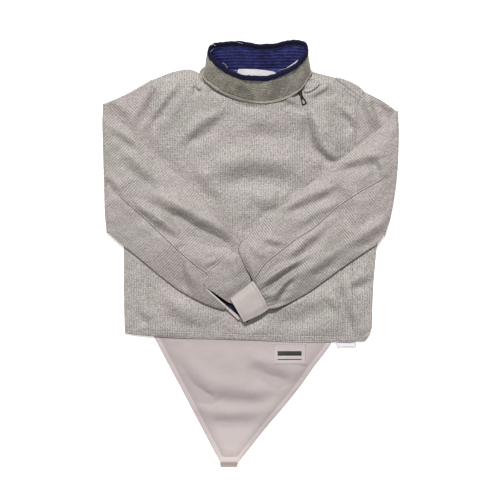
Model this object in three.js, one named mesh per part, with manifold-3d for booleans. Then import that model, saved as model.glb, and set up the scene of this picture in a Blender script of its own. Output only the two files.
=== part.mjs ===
// Electric sabre lame (fencing jacket), laid flat on its back with both sleeves
// folded across the front. Millimetres, +Z up, +Y towards the collar.
import * as THREE from 'three';
import * as BGU from 'three/addons/utils/BufferGeometryUtils.js';
import Module from 'manifold-3d';

const wasm = await Module();
wasm.setup();

// ---------------------------------------------------------------- sizes
const WALL = 1.6; // one layer of the metallic cloth with its backing
const SEAM = 0.3; // clearance at a seam
const EDGE_TOP = 4.6; // top of the front where back and front meet at the sides
const HEM_TOP = 3.5; // the same along the hem and the shoulder seams
const CROWN = 2.4; // how far the front rises in the middle of the chest
const NECK_RISE = 2.2; // and round the neckline
const CAP_HALF = 2.3; // half thickness of a flattened sleeve head
const ARM_HALF = 3.4; // half thickness of a flattened forearm
const EDGE_HALF = 1.75; // half thickness where a sleeve's two layers turn into each other
const CLEAR = 1.0; // a sleeve above what it lies on
const LIFT = 7.9; // the upper sleeve above the lower one
const LIFT_FROM = 105, LIFT_RUN = 70; // where the upper sleeve starts to climb, and over what length
const CUFF_HALF = 2.6;
const CUFF_WALL = 1.2;
const COLLAR_WALL = 1.4;
const LINING_WALL = 1.2;
const BINDING_WALL = 1.0;
const BINDING_DEPTH = 8;
const TRIM = 1.0; // labels and the patch
const PULL = { length: 26.5, wide: 11, narrow: 4.2, thick: 1.2, hole: 5, drop: 5.2, x: 99.5, y: 321.5 };

// The cut lines below are measured from the middle of the hem to collar outline; this moves the
// whole to the middle of its own box.
const OFFSET = { x: -0.5, y: 2 };

// ---------------------------------------------------------------- cut lines
const HEM = [
  { x: -206, y: -165 }, { x: -128, y: -169 }, { x: 0, y: -173 }, { x: 45, y: -175 },
  { x: 114, y: -177 }, { x: 171, y: -177 },
];
const ARMHOLE_R = [
  { x: -199, y: 346 }, { x: -195, y: 334 }, { x: -197, y: 307 }, { x: -198, y: 271 },
  { x: -201, y: 236 }, { x: -206, y: 178 }, { x: -220, y: 148 }, { x: -251.7, y: 107 },
];
const ARMHOLE_L = [
  { x: 229, y: 323 }, { x: 220, y: 311 }, { x: 213, y: 290 }, { x: 212, y: 260 },
  { x: 213, y: 227 }, { x: 213, y: 180 }, { x: 230, y: 142 }, { x: 256, y: 103 },
];
const SHOULDER_R = [
  { x: -199, y: 346 }, { x: -180, y: 353 }, { x: -160, y: 361 }, { x: -140, y: 366 },
  { x: -120, y: 368 }, { x: -97, y: 359 },
];
const SHOULDER_L = [
  { x: 127, y: 363 }, { x: 150, y: 356.5 }, { x: 172, y: 351 }, { x: 190, y: 347 },
  { x: 216, y: 335 }, { x: 229, y: 323 },
];
const BACK_NECK = [
  { x: -97, y: 359 }, { x: -84, y: 368 }, { x: -36, y: 371 }, { x: 24, y: 371 },
  { x: 84, y: 371 }, { x: 116, y: 368 }, { x: 127, y: 363 },
];
const FRONT_NECK = [
  { x: -97, y: 357 }, { x: -84, y: 344 }, { x: -40, y: 320 }, { x: 20, y: 306 },
  { x: 66, y: 312 }, { x: 101, y: 327 },
];
const ZIP = [
  { x: 101, y: 327 }, { x: 104, y: 313 }, { x: 109, y: 290 }, { x: 115, y: 261 },
  { x: 126, y: 223 }, { x: 142, y: 187 }, { x: 162, y: 117 }, { x: 174, y: 47 },
  { x: 180, y: -17 }, { x: 180, y: -73 }, { x: 176, y: -113 }, { x: 172, y: -159 },
  { x: 171, y: -177 },
];
const SIDE_SEAM_R = [{ x: -206, y: -165 }, { x: -205, y: -60 }, { x: -205, y: 60 }, { x: -206, y: 178 }];
const SIDE_SEAM_L = [{ x: 203, y: -176.5 }, { x: 205, y: -80 }, { x: 206, y: 60 }, { x: 213, y: 180 }];
const SIDE_EDGE_R = [
  { x: -248, y: -160 }, { x: -249.8, y: -93 }, { x: -250.2, y: -23 }, { x: -250.8, y: 27 }, { x: -251.7, y: 107 },
];
const SIDE_EDGE_L = [
  { x: 236, y: -166 }, { x: 241.5, y: -147 }, { x: 242.4, y: -93 }, { x: 245.8, y: -43 },
  { x: 250.8, y: 7 }, { x: 254.6, y: 31 }, { x: 256, y: 103 },
];
const SIDE_HEM_R = [{ x: -206, y: -165 }, { x: -228, y: -163 }, { x: -248, y: -160 }];
const SIDE_HEM_L = [{ x: 203, y: -176.5 }, { x: 216, y: -176.2 }, { x: 229, y: -175 }, { x: 236, y: -166 }];
const BACK_SEAM = 214; // where the side panels join the back
const BACK_HEM = -148;

// Sleeves: a = point on the upper edge, b = point on the lower edge of each section, f and g = where
// the seam on the outer layer lies between them, as fractions (f < g is an open slit).
const SLEEVE_R = {
  cap: [{ ax: -245, ay: 320, bx: -272, by: 73 }],
  fold: { ax: -290, ay: 300, bx: -283, by: 41, f: 0.6 },
  arm: [
    { ax: -240, ay: 248, bx: -262, by: 22, f: 0.62, g: 0.62 },
    { ax: -184, ay: 193, bx: -236, by: 2, f: 0.62, g: 0.62 },
    { ax: -132, ay: 150, bx: -208, by: -21, f: 0.64, g: 0.64 },
    { ax: -88, ay: 104, bx: -178, by: -46, f: 0.645, g: 0.645 },
    { ax: -48, ay: 61, bx: -144, by: -72, f: 0.64, g: 0.64 },
    { ax: -20, ay: 25, bx: -120, by: -86, f: 0.635, g: 0.635 },
    { ax: -14, ay: 16, bx: -114, by: -89, f: 0.765, g: 0.775 },
    { ax: -8, ay: -8, bx: -85.5, by: -102.5, f: 0.77, g: 0.805 },
    { ax: -1, ay: -40, bx: -57.5, by: -111.5, f: 0.78, g: 0.855 },
    { ax: 4, ay: -57, bx: -51, by: -111, f: 0.78, g: 0.9 },
  ],
};
const SLEEVE_L = {
  cap: [{ ax: 263, ay: 306, bx: 268, by: 62 }],
  fold: { ax: 292.4, ay: 285, bx: 266, by: 35, f: 0.41 },
  arm: [
    { ax: 258, ay: 252, bx: 254, by: 19, f: 0.446, g: 0.446 },
    { ax: 212, ay: 214, bx: 224, by: -1, f: 0.43, g: 0.43 },
    { ax: 160, ay: 173, bx: 188, by: -26, f: 0.42, g: 0.42 },
    { ax: 112, ay: 134, bx: 152, by: -52, f: 0.44, g: 0.44 },
    { ax: 70, ay: 101, bx: 116, by: -78, f: 0.42, g: 0.42 },
    { ax: 34, ay: 75, bx: 84, by: -96, f: 0.44, g: 0.44 },
    { ax: 4, ay: 42, bx: 64, by: -105, f: 0.435, g: 0.435 },
    { ax: -22, ay: 13, bx: 53, by: -109, f: 0.475, g: 0.475 },
    { ax: -13, ay: -18, bx: 45, by: -110.5, f: 0.37, g: 0.37 },
    { ax: 6, ay: -54, bx: 37.2, by: -111, f: 0.13, g: 0.13 },
  ],
};
const SEAM_IN = 0.45; // the seam on the layer that faces the body, as a fraction
const CUFF_R = [
  { ax: 4, ay: -59.6, bx: -49.6, by: -111.4 }, { ax: 14, ay: -76, bx: -33, by: -124 },
  { ax: 29, ay: -110, bx: -10, by: -141 },
];
const CUFF_L = [
  { ax: 5, ay: -54.9, bx: 35.9, by: -111.8 }, { ax: -8, ay: -66, bx: 22, by: -121 },
  { ax: -24, ay: -78, bx: 6, by: -129 }, { ax: -39, ay: -90, bx: -12, by: -137 },
];

// Collar: foot and top edge of each section, from the closure round the front, the
// wearer's right, the nape and back to the closure.
const COLLAR = [
  { x: 110, y: 338, z: 13, tx: 103, ty: 384, tz: 43 },
  { x: 96, y: 322, z: 14, tx: 88, ty: 371, tz: 43.5 },
  { x: 64, y: 305.5, z: 14.5, tx: 58, ty: 355, tz: 44 },
  { x: 20, y: 299, z: 14.5, tx: 18, ty: 347, tz: 44 },
  { x: -40, y: 312, z: 14.5, tx: -28, ty: 354, tz: 44 },
  { x: -83, y: 338, z: 13.8, tx: -64, ty: 377, tz: 43 },
  { x: -95, y: 356, z: 11, tx: -81, ty: 400, tz: 42 },
  { x: -84, y: 369, z: 4.5, tx: -71, ty: 413, tz: 40.5 },
  { x: -36, y: 372, z: 2.6, tx: -26, ty: 419, tz: 39 },
  { x: 24, y: 372, z: 2.6, tx: 28, ty: 412, tz: 38 },
  { x: 84, y: 372, z: 3, tx: 84, ty: 421, tz: 39 },
  { x: 118, y: 367, z: 7, tx: 110, ty: 415, tz: 41 },
  { x: 121, y: 356, z: 11, tx: 112, ty: 397, tz: 43 },
  { x: 111.4, y: 340.4, z: 12.8, tx: 104.4, ty: 386.2, tz: 43 },
];
const TONGUE = [
  { y: -158, l: -197, r: 170 }, { y: -180, l: -185, r: 162 }, { y: -203, l: -173, r: 146 },
  { y: -223, l: -162.5, r: 130 }, { y: -263, l: -141, r: 102 }, { y: -303, l: -120, r: 70 },
  { y: -343, l: -99, r: 36 }, { y: -383, l: -78, r: 4 }, { y: -417, l: -60, r: -23 },
];
const UNDERLAP = [
  { x: 107, y: 321 }, { x: 118, y: 321 }, { x: 130, y: 328 }, { x: 139, y: 337 },
  { x: 138, y: 345 }, { x: 131, y: 351 }, { x: 118, y: 351.5 }, { x: 110, y: 343 },
];
const FACING = [
  { y: 336, l: -62, r: 84 }, { y: 350, l: -80, r: 106 }, { y: 360, l: -84, r: 112 }, { y: 367, l: -76, r: 106 },
];

// ---------------------------------------------------------------- helpers
const V = (x, y, z) => new THREE.Vector3(x, y, z);
const mix = (a, b, t) => a + (b - a) * t;
const ss = (t) => { const c = Math.min(1, Math.max(0, t)); return c * c * (3 - 2 * c); };

// Smooth line through rows with x and y, read by the fraction of its length.
function line(rows, steps = 8) {
  const pts = [];
  const at = (i) => rows[Math.min(rows.length - 1, Math.max(0, i))];
  for (let i = 0; i < rows.length - 1; i++) {
    const [p, q, r, s] = [at(i - 1), at(i), at(i + 1), at(i + 2)];
    for (let k = 0; k < steps; k++) {
      const t = k / steps;
      const c = (a, b, d, e) => b + 0.5 * t * (d - a + t * (2 * a - 5 * b + 4 * d - e + t * (3 * (b - d) + e - a)));
      pts.push([c(p.x, q.x, r.x, s.x), c(p.y, q.y, r.y, s.y)]);
    }
  }
  pts.push([rows.at(-1).x, rows.at(-1).y]);
  const len = [0];
  for (let i = 1; i < pts.length; i++) len.push(len[i - 1] + Math.hypot(pts[i][0] - pts[i - 1][0], pts[i][1] - pts[i - 1][1]));
  const total = len.at(-1);
  const f = (t) => {
    const want = Math.min(1, Math.max(0, t)) * total;
    let i = 1;
    while (i < len.length - 1 && len[i] < want) i++;
    const k = (want - len[i - 1]) / (len[i] - len[i - 1]);
    return [mix(pts[i - 1][0], pts[i][0], k), mix(pts[i - 1][1], pts[i][1], k)];
  };
  f.length_mm = total;
  return f;
}
const back = (f) => Object.assign((t) => f(1 - t), { length_mm: f.length_mm });
const join = (...parts) => {
  const total = parts.reduce((n, p) => n + p.length_mm, 0);
  const f = (t) => {
    let d = t * total;
    for (const p of parts) {
      if (d <= p.length_mm || p === parts.at(-1)) return p(d / p.length_mm);
      d -= p.length_mm;
    }
  };
  f.length_mm = total;
  return f;
};
const shift = (f, dx, dy) => Object.assign((t) => { const [x, y] = f(t); return [x + dx, y + dy]; }, { length_mm: f.length_mm });

// Surface patch between four lines: bottom and top run in u, left and right in v.
function patch(bottom, top, left, right) {
  const c = [bottom(0), bottom(1), top(0), top(1)];
  return (u, v) => [0, 1].map((k) =>
    (1 - v) * bottom(u)[k] + v * top(u)[k] + (1 - u) * left(v)[k] + u * right(v)[k] -
    ((1 - u) * (1 - v) * c[0][k] + u * (1 - v) * c[1][k] + (1 - u) * v * c[2][k] + u * v * c[3][k]));
}

const frontTop = (x, y) => {
  const rise = ss((x + 195) / 90) * ss((222 - x) / 90) * ss((y + 170) / 80) * ss((352 - y) / 60);
  const e = Math.hypot((x - 15) / 105, (y - 335) / 38);
  return EDGE_TOP + CROWN * rise + NECK_RISE * (1 - ss((e - 1) / 1.2));
};
const shoulderY = (x) => {
  const rows = x < 0 ? SHOULDER_R : SHOULDER_L;
  for (let i = 1; i < rows.length; i++) if (x <= rows[i].x) {
    return mix(rows[i - 1].y, rows[i].y, Math.max(0, (x - rows[i - 1].x) / (rows[i].x - rows[i - 1].x)));
  }
  return rows.at(-1).y;
};
// Top of the front layer, coming down to the back at the hem and the shoulder seams.
const top = (x, y) => {
  let z = mix(HEM_TOP, frontTop(x, y), ss((y + 172) / 26));
  if (x < -90 || x > 120) {
    const t = (shoulderY(x) - y) / 18 + (x > 0 ? 2 * ss((x - 160) / 15) : 0);
    z = mix(HEM_TOP, z, ss(t));
  }
  return z;
};

// Closed body from two grids of points, one for each face. loop: the first index wraps round.
function shell(outer, inner, loop = false) {
  const m = outer.length, n = outer[0].length, tris = [];
  const all = [...outer.flat(), ...inner.flat()];
  const o = (i, j) => (i % m) * n + j, q = (i, j) => m * n + (i % m) * n + j;
  const quad = (a, b, c, d) => tris.push(a, b, c, a, c, d);
  const mi = loop ? m : m - 1;
  for (let i = 0; i < mi; i++) for (let j = 0; j < n - 1; j++) {
    quad(o(i, j), o(i + 1, j), o(i + 1, j + 1), o(i, j + 1));
    quad(q(i, j), q(i, j + 1), q(i + 1, j + 1), q(i + 1, j));
  }
  for (let i = 0; i < mi; i++) {
    quad(o(i, 0), q(i, 0), q(i + 1, 0), o(i + 1, 0));
    quad(o(i, n - 1), o(i + 1, n - 1), q(i + 1, n - 1), q(i, n - 1));
  }
  if (!loop) for (let j = 0; j < n - 1; j++) {
    quad(o(0, j), o(0, j + 1), q(0, j + 1), q(0, j));
    quad(o(m - 1, j), q(m - 1, j), q(m - 1, j + 1), o(m - 1, j + 1));
  }
  return solid(all, tris);
}
function solid(points, tris) {
  let vol = 0;
  for (let k = 0; k < tris.length; k += 3) {
    const [a, b, c] = [points[tris[k]], points[tris[k + 1]], points[tris[k + 2]]];
    vol += a.dot(b.clone().cross(c));
  }
  if (vol < 0) for (let k = 0; k < tris.length; k += 3) [tris[k + 1], tris[k + 2]] = [tris[k + 2], tris[k + 1]];
  const g = new THREE.BufferGeometry();
  g.setAttribute('position', new THREE.Float32BufferAttribute(points.flatMap((p) => [p.x, p.y, p.z]), 3));
  g.setIndex(tris);
  return g;
}
const grid = (m, n, f) => Array.from({ length: m }, (_, i) => Array.from({ length: n }, (_, j) => f(i, j)));

// Flat or crowned panel over a patch, from height low(x, y) to high(x, y). tight > 1 draws the rows
// together towards the top, where an armhole curves.
function panel(at, nu, nv, low, high, tight = 1) {
  const put = (z) => grid(nu + 1, nv + 1, (i, j) => { const [x, y] = at(i / nu, 1 - (1 - j / nv) ** tight); return V(x, y, z(x, y)); });
  return shell(put(high), put(low));
}

const toManifold = (g) => {
  const c = g.clone();
  for (const k of ['normal', 'uv']) if (c.attributes[k]) c.deleteAttribute(k);
  const m = BGU.mergeVertices(c, 1e-4);
  return new wasm.Manifold(new wasm.Mesh({
    numProp: 3, vertProperties: new Float32Array(m.attributes.position.array), triVerts: new Uint32Array(m.index.array),
  }));
};
const fromManifold = (s) => {
  const m = s.getMesh();
  const g = new THREE.BufferGeometry();
  const p = new Float32Array((m.vertProperties.length / m.numProp) * 3);
  for (let i = 0; i < p.length / 3; i++) for (let k = 0; k < 3; k++) p[3 * i + k] = m.vertProperties[i * m.numProp + k];
  g.setAttribute('position', new THREE.BufferAttribute(p, 3));
  g.setIndex(Array.from(m.triVerts));
  return g;
};

const lame = new THREE.Group();
lame.position.set(OFFSET.x, OFFSET.y, 0);
const looks = {
  lame: { color: 0xb3aaa5, roughness: 0.5, metalness: 0.35 },
  collar: { color: 0x8f8c82, roughness: 0.5, metalness: 0.35 },
  white: { color: 0xd9d2cf, roughness: 0.8, metalness: 0 },
  navy: { color: 0x23265a, roughness: 0.8, metalness: 0 },
  label: { color: 0xe8e8ea, roughness: 0.7, metalness: 0 },
  metal: { color: 0x4a4744, roughness: 0.35, metalness: 0.9 },
};
function add(name, geometry, look) {
  const mesh = new THREE.Mesh(geometry, new THREE.MeshStandardMaterial(looks[look]));
  mesh.name = name;
  lame.add(mesh);
}

// ---------------------------------------------------------------- body
const armR = line(ARMHOLE_R), armL = line(ARMHOLE_L);
const armTopR = line(ARMHOLE_R.slice(0, 6)), armTopL = line(ARMHOLE_L.slice(1, 6));
const armLowR = line(ARMHOLE_R.slice(5)), armLowL = line(ARMHOLE_L.slice(5));
const zip = line(ZIP);

add('front_main', panel(
  patch(line(HEM), join(line(SHOULDER_R.map((p) => ({ x: p.x, y: p.y - 1.5 }))), line(FRONT_NECK)),
    join(line(SIDE_SEAM_R), back(armTopR)), back(zip)),
  16, 15, (x, y) => top(x, y) - WALL, top, 1.5), 'lame');

add('front_left', panel(
  patch(line([{ x: 171.5, y: -177 }, { x: 202.6, y: -176.5 }]),
    line([{ x: 127.5, y: 360 }, { x: 150, y: 353.5 }, { x: 166, y: 348.9 }, { x: 171, y: 345.4 }, { x: 218.4, y: 308.6 }], 1),
    join(shift(back(zip), 0.5, 0), line([{ x: 101.5, y: 327 }, { x: 113, y: 341 }, { x: 127.5, y: 360 }])),
    shift(join(line(SIDE_SEAM_L), back(armTopL)), -0.8, -1.8)),
  6, 15, (x, y) => top(x, y) - WALL, top, 1.5), 'lame');

// Side panels, folded round the body's edge.
function sidePanel(name, seam, edge, hem, armLow, sx) {
  const at = patch(hem, armLow, seam, edge);
  const fronts = [0.012, 0.35, 0.7, 1], backs = [1, 0.75, 0.5], turn = [30, 60, 90, 120, 150];
  const cell = (v, thick) => {
    const row = [];
    const out = (() => { const [a, b] = [at(1, v), at(0.9, v)]; const d = Math.hypot(a[0] - b[0], a[1] - b[1]); return [(a[0] - b[0]) / d, (a[1] - b[1]) / d]; })();
    for (const u of fronts) { const [x, y] = at(u, v); row.push(V(x, y, top(x, y) - thick)); }
    const [ex, ey] = at(1, v), r = top(ex, ey) / 2;
    for (const deg of turn) {
      const t = (deg * Math.PI) / 180, w = (r - thick) * Math.sin(t);
      row.push(V(ex + out[0] * w, ey + out[1] * w, r + (r - thick) * Math.cos(t)));
    }
    for (const u of [...backs, mix(0.24, 0.36, v)]) { const [x, y] = at(u, v); row.push(V(x, y, thick)); }
    return row;
  };
  const n = 10, vs = Array.from({ length: n + 1 }, (_, j) => 0.002 + (0.996 * j) / n);
  add(name, shell(vs.map((v) => cell(v, 0)), vs.map((v) => cell(v, WALL))), 'lame');
}
sidePanel('side_panel_right', line(SIDE_SEAM_R), line(SIDE_EDGE_R), line(SIDE_HEM_R), armLowR);
sidePanel('side_panel_left', line(SIDE_SEAM_L), line(SIDE_EDGE_L), line(SIDE_HEM_L), armLowL);

// Back, with the strip of it that rolls forward over the wearer's left shoulder.
{
  const sideR = join(line([{ x: -BACK_SEAM + 0.8, y: BACK_HEM }, { x: -BACK_SEAM + 0.8, y: 150 }]),
    line([{ x: -BACK_SEAM + 0.8, y: 150 }, { x: -205, y: 182 }]), back(armTopR));
  const sideL = join(line([{ x: BACK_SEAM - 4.5, y: BACK_HEM }, { x: BACK_SEAM - 1, y: 150 }]),
    line([{ x: BACK_SEAM - 1, y: 150 }, { x: 212.5, y: 182 }]), shift(back(line(ARMHOLE_L.slice(0, 6))), -0.5, -0.2));
  const topLine = join(line(SHOULDER_R), line(BACK_NECK), line([...SHOULDER_L.slice(0, 5), { x: 228.5, y: 322.8 }]));
  const flat = panel(patch(line([{ x: -BACK_SEAM + 0.8, y: BACK_HEM }, { x: BACK_SEAM - 4.5, y: BACK_HEM }]), topLine, sideR, sideL),
    18, 13, () => 0, () => WALL, 1.6);
  const roll = patch(
    line([{ x: 172, y: 348.9 }, { x: 190, y: 344.9 }, { x: 215.5, y: 333 }, { x: 226.4, y: 322.4 }]),
    line([{ x: 171.5, y: 347 }, { x: 186, y: 335.5 }, { x: 204, y: 322 }, { x: 219.2, y: 310.4 }]),
    line([{ x: 172, y: 348.9 }, { x: 171.5, y: 347 }]), line([{ x: 226.4, y: 322.4 }, { x: 219.2, y: 310.4 }]));
  const cell = (u, thick) => {
    const [a, b] = [roll(u, 0), roll(u, 1)];
    const d = Math.hypot(a[0] - b[0], a[1] - b[1]), out = [(a[0] - b[0]) / d, (a[1] - b[1]) / d];
    const r = top(a[0], a[1]) / 2, row = [];
    for (const v of [1, 0.5, 0]) { const [x, y] = roll(u, v); row.push(V(x, y, 2 * r - thick)); }
    for (const deg of [36, 72, 108, 144, 180]) {
      const t = (deg * Math.PI) / 180, w = (r - thick) * Math.sin(t);
      row.push(V(a[0] + out[0] * w, a[1] + out[1] * w, r + (r - thick) * Math.cos(t)));
    }
    row.push(V(a[0] - out[0] * 1.7, a[1] - out[1] * 1.7, thick ? WALL - 0.25 : 0.25));
    return row;
  };
  const us = [0, 0.2, 0.4, 0.6, 0.8, 1];
  const strip = shell(us.map((u) => cell(u, 0)), us.map((u) => cell(u, WALL)));
  add('back', fromManifold(toManifold(flat).add(toManifold(strip))), 'lame');
}

// ---------------------------------------------------------------- sleeves
const half = (s, len, h) => EDGE_HALF + (h - EDGE_HALF) * ss(Math.min(s - EDGE_HALF, len - EDGE_HALF - s) / 40);

// Points of one section, from the seam on the outer layer round one edge to the seam on the inner
// layer, as [distance along the section, height off its middle].
function section(len, h, from, to, edge, thick, na, nb) {
  const r = EDGE_HALF, pts = [], wall = (s, sign) => pts.push([s, sign * (half(s, len, h) - thick), half(s, len, h)]);
  const end = edge === 'a' ? r : len - r;
  for (const t of na) wall(mix(from, end, t), 1);
  for (const deg of [45, 90, 135]) {
    const t = (deg * Math.PI) / 180, off = (r - thick) * Math.sin(t);
    pts.push([edge === 'a' ? end - off : end + off, (r - thick) * Math.cos(t), r]);
  }
  for (let i = 0; i < nb; i++) wall(mix(end, to, i / (nb - 1)), -1);
  return pts;
}

function sleeve(name, table, arm, lift) {
  const straight = (p, q) => line([{ x: p[0], y: p[1] }, { x: q[0], y: q[1] }], 1);
  const stations = [];
  const push = (spine, f, g, place, h) => stations.push({ spine, f, g, place, h });
  const flatCap = (spine) => (s, w, mid) => { const [x, y] = spine(s / spine.length_mm); return V(x, y, mid - w); };
  push(arm, table.fold.f, table.fold.f, flatCap(arm), CAP_HALF);
  for (const c of table.cap) {
    const sp = straight([c.ax, c.ay], [c.bx, c.by]);
    push(sp, table.fold.f, table.fold.f, flatCap(sp), CAP_HALF);
  }
  const F = table.fold, axis = straight([F.ax, F.ay], [F.bx, F.by]);
  const side = Math.sign(F.ax), d = [(F.bx - F.ax) / axis.length_mm, (F.by - F.ay) / axis.length_mm];
  const out = side < 0 ? [d[1], -d[0]] : [-d[1], d[0]];
  for (const deg of [0, 36, 72, 108, 144, 180]) {
    const t = (deg * Math.PI) / 180, h = mix(CAP_HALF, ARM_HALF, deg / 180), len = axis.length_mm;
    push(axis, F.f, F.f, (s, w) => {
      const e = Math.min(len - EDGE_HALF, Math.max(EDGE_HALF, s));
      const low = half(e, len, CAP_HALF), high = 2 * low + CLEAR + half(e, len, ARM_HALF);
      const r = (high - low) / 2, c = (high + low) / 2, [x, y] = axis(s / len);
      return V(x + out[0] * (r + w) * Math.sin(t), y + out[1] * (r + w) * Math.sin(t), c - (r + w) * Math.cos(t));
    }, h);
  }
  for (const a of table.arm) {
    const sp = straight([a.ax, a.ay], [a.bx, a.by]);
    push(sp, a.f, a.g, (s, w, mid) => {
      const [x, y] = sp(s / sp.length_mm);
      return V(x, y, frontTop(x, y) + CLEAR + lift(x) + mid + w);
    }, ARM_HALF);
  }
  for (const [part, edge] of [['top', 'a'], ['under', 'b']]) {
    const face = (thick) => stations.map((st) => {
      const len = st.spine.length_mm;
      const from = edge === 'a' ? st.f * len - SEAM / 2 : st.g * len + SEAM / 2;
      const to = edge === 'a' ? SEAM_IN * len - SEAM / 2 : SEAM_IN * len + SEAM / 2;
      return section(len, st.h, from, to, edge, thick, edge === 'a' ? [0, 0.22, 0.44, 0.64, 0.8, 0.91, 1] : [0, 0.33, 0.67, 1], 5).map(([s, w, mid]) => st.place(s, w, mid));
    });
    add(`${name}_${part}`, shell(face(0), face(WALL)), 'lame');
  }
}
const liftL = (x) => LIFT * ss((LIFT_FROM - x) / LIFT_RUN);
sleeve('sleeve_right', SLEEVE_R, shift(armR, -1.8, 0.2), () => 0);
sleeve('sleeve_left', SLEEVE_L, shift(armL, 1.6, 0.4), liftL);

// slit: where the upper layer is open, as two fractions of the section.
function cuff(name, rows, lift, slit) {
  const face = (thick) => {
    const cols = [];
    const r = EDGE_HALF - 0.4, n = 5;
    const h = (s, len) => r + (CUFF_HALF - r) * ss(Math.min(s - r, len - r - s) / 14);
    const ends = slit ? 2 : 0;
    for (let k = 0; k < 2 * (n + 3) + ends; k++) cols.push(rows.map((row) => {
      const sp = line([{ x: row.ax, y: row.ay }, { x: row.bx, y: row.by }], 1), len = sp.length_mm;
      const side = k < n + 3 ? 1 : -1, i = k % (n + 3);
      let s, w, mid;
      if (k >= 2 * (n + 3)) { s = mix(len - r, slit[1] * len, k - 2 * (n + 3)); mid = h(s, len); w = mid - thick; } else {
        if (i < n) { s = mix(side > 0 && slit ? slit[0] * len : len - r, r, i / (n - 1)); mid = h(s, len); w = mid - thick; } else {
          const t = ((i - n + 1) * 45 * Math.PI) / 180;
          s = r - (r - thick) * Math.sin(t); mid = r; w = (r - thick) * Math.cos(t);
        }
        if (side < 0) { s = len - s; w = -w; }
      }
      const [x, y] = sp(s / len);
      return V(x, y, frontTop(x, y) + CLEAR + lift(x) + mid + w);
    }));
    return cols;
  };
  add(name, shell(face(0), face(CUFF_WALL), !slit), 'white');
}
cuff('cuff_right', CUFF_R, () => 0, [0.76, 0.9]);
cuff('cuff_left', CUFF_L, () => LIFT);

// ---------------------------------------------------------------- collar
const STEPS = 2;
const collarAt = (() => {
  const cols = [];
  const key = ['x', 'y', 'z', 'tx', 'ty', 'tz'], at = (i) => COLLAR[Math.min(COLLAR.length - 1, Math.max(0, i))];
  for (let i = 0; i < COLLAR.length - 1; i++) for (let k = 0; k < STEPS; k++) {
    const t = k / STEPS, row = {};
    for (const n of key) {
      const [a, b, d, e] = [at(i - 1)[n], at(i)[n], at(i + 1)[n], at(i + 2)[n]];
      row[n] = b + 0.5 * t * (d - a + t * (2 * a - 5 * b + 4 * d - e + t * (3 * (b - d) + e - a)));
    }
    cols.push(row);
  }
  cols.push({ ...COLLAR.at(-1) });
  return cols.map((c, i) => {
    const foot = V(c.x, c.y, c.z), rim = V(c.tx, c.ty, c.tz);
    const [p, q] = [cols[Math.max(0, i - 1)], cols[Math.min(cols.length - 1, i + 1)]];
    const along = V(q.x + q.tx - p.x - p.tx, q.y + q.ty - p.y - p.ty, q.z + q.tz - p.z - p.tz).normalize();
    const up = rim.clone().sub(foot).normalize();
    const inward = along.clone().cross(up).normalize();
    const centre = V(15, 360, 30).sub(foot.clone().lerp(rim, 0.5));
    if (inward.dot(centre) < 0) inward.negate();
    return { foot, rim, up, inward };
  });
})();
const collarFace = (depth) => collarAt.map((c) => [0, 0.5, 1].map((t) => c.foot.clone().lerp(c.rim, t).addScaledVector(c.inward, depth)));
add('collar', shell(collarFace(0), collarFace(COLLAR_WALL)), 'collar');
add('collar_lining', shell(collarFace(COLLAR_WALL + SEAM), collarFace(COLLAR_WALL + SEAM + LINING_WALL)), 'navy');
{
  const t = COLLAR_WALL + SEAM + LINING_WALL, b = BINDING_WALL, D = BINDING_DEPTH;
  const outer = [[-SEAM - b, -D], [-SEAM - b, 0.9], [-SEAM, 1.8], [t + SEAM, 1.8], [t + SEAM + b, 0.9], [t + SEAM + b, -D]];
  const inner = [[-SEAM, -D], [-SEAM, 0.3], [0.1, 0.8], [t - 0.1, 0.8], [t + SEAM, 0.3], [t + SEAM, -D]];
  const face = (rows) => collarAt.map((c) => rows.map(([n, h]) => c.rim.clone().addScaledVector(c.inward, n).addScaledVector(c.up, h)));
  add('collar_binding', shell(face(outer), face(inner)), 'navy');
}
// Neck band, flat on the front's neckline under the collar's lower edge.
{
  const cols = collarAt.slice(3, 14);
  const face = (dz) => cols.map((c, i) => {
    const n = V(c.inward.x, c.inward.y, 0).normalize(), proud = mix(1, 6, ss((i - 3) / 5));
    return [-proud, 2.5, 5.5].map((d) => {
      const p = c.foot.clone().addScaledVector(n, d);
      return V(p.x, p.y, top(p.x, p.y) + 4 * SEAM + dz);
    });
  });
  add('neck_band', shell(face(WALL), face(0)), 'collar');
}
const rowsPatch = (rows) => patch(
  line([{ x: rows[0].l, y: rows[0].y }, { x: rows[0].r, y: rows[0].y }], 1),
  line([{ x: rows.at(-1).l, y: rows.at(-1).y }, { x: rows.at(-1).r, y: rows.at(-1).y }], 1),
  line(rows.map((r) => ({ x: r.l, y: r.y }))), line(rows.map((r) => ({ x: r.r, y: r.y }))));
add('neck_facing', panel(rowsPatch(FACING), 6, 3, () => WALL + SEAM, () => WALL + SEAM + TRIM), 'navy');
add('neck_label', panel(rowsPatch([{ y: 354, l: -25, r: 51 }, { y: 366, l: -25, r: 51 }]), 4, 2,
  () => WALL + 2 * SEAM + TRIM, () => WALL + 2 * SEAM + 1.8 * TRIM), 'label');

// Round ended underlap at the collar's closure, lying on the front.
{
  const ring = UNDERLAP, c = { x: 122, y: 337 }, pts = [], tris = [], n = ring.length;
  for (const dz of [WALL, 0]) {
    pts.push(V(c.x, c.y, top(c.x, c.y) + SEAM + dz));
    for (const p of ring) pts.push(V(p.x, p.y, top(p.x, p.y) + SEAM + dz));
  }
  for (let i = 0; i < n; i++) {
    const j = (i + 1) % n;
    tris.push(0, 1 + i, 1 + j, n + 1, n + 2 + j, n + 2 + i, 1 + i, n + 2 + i, n + 2 + j, 1 + i, n + 2 + j, 1 + j);
  }
  add('collar_underlap', solid(pts, tris), 'collar');
}

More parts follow.
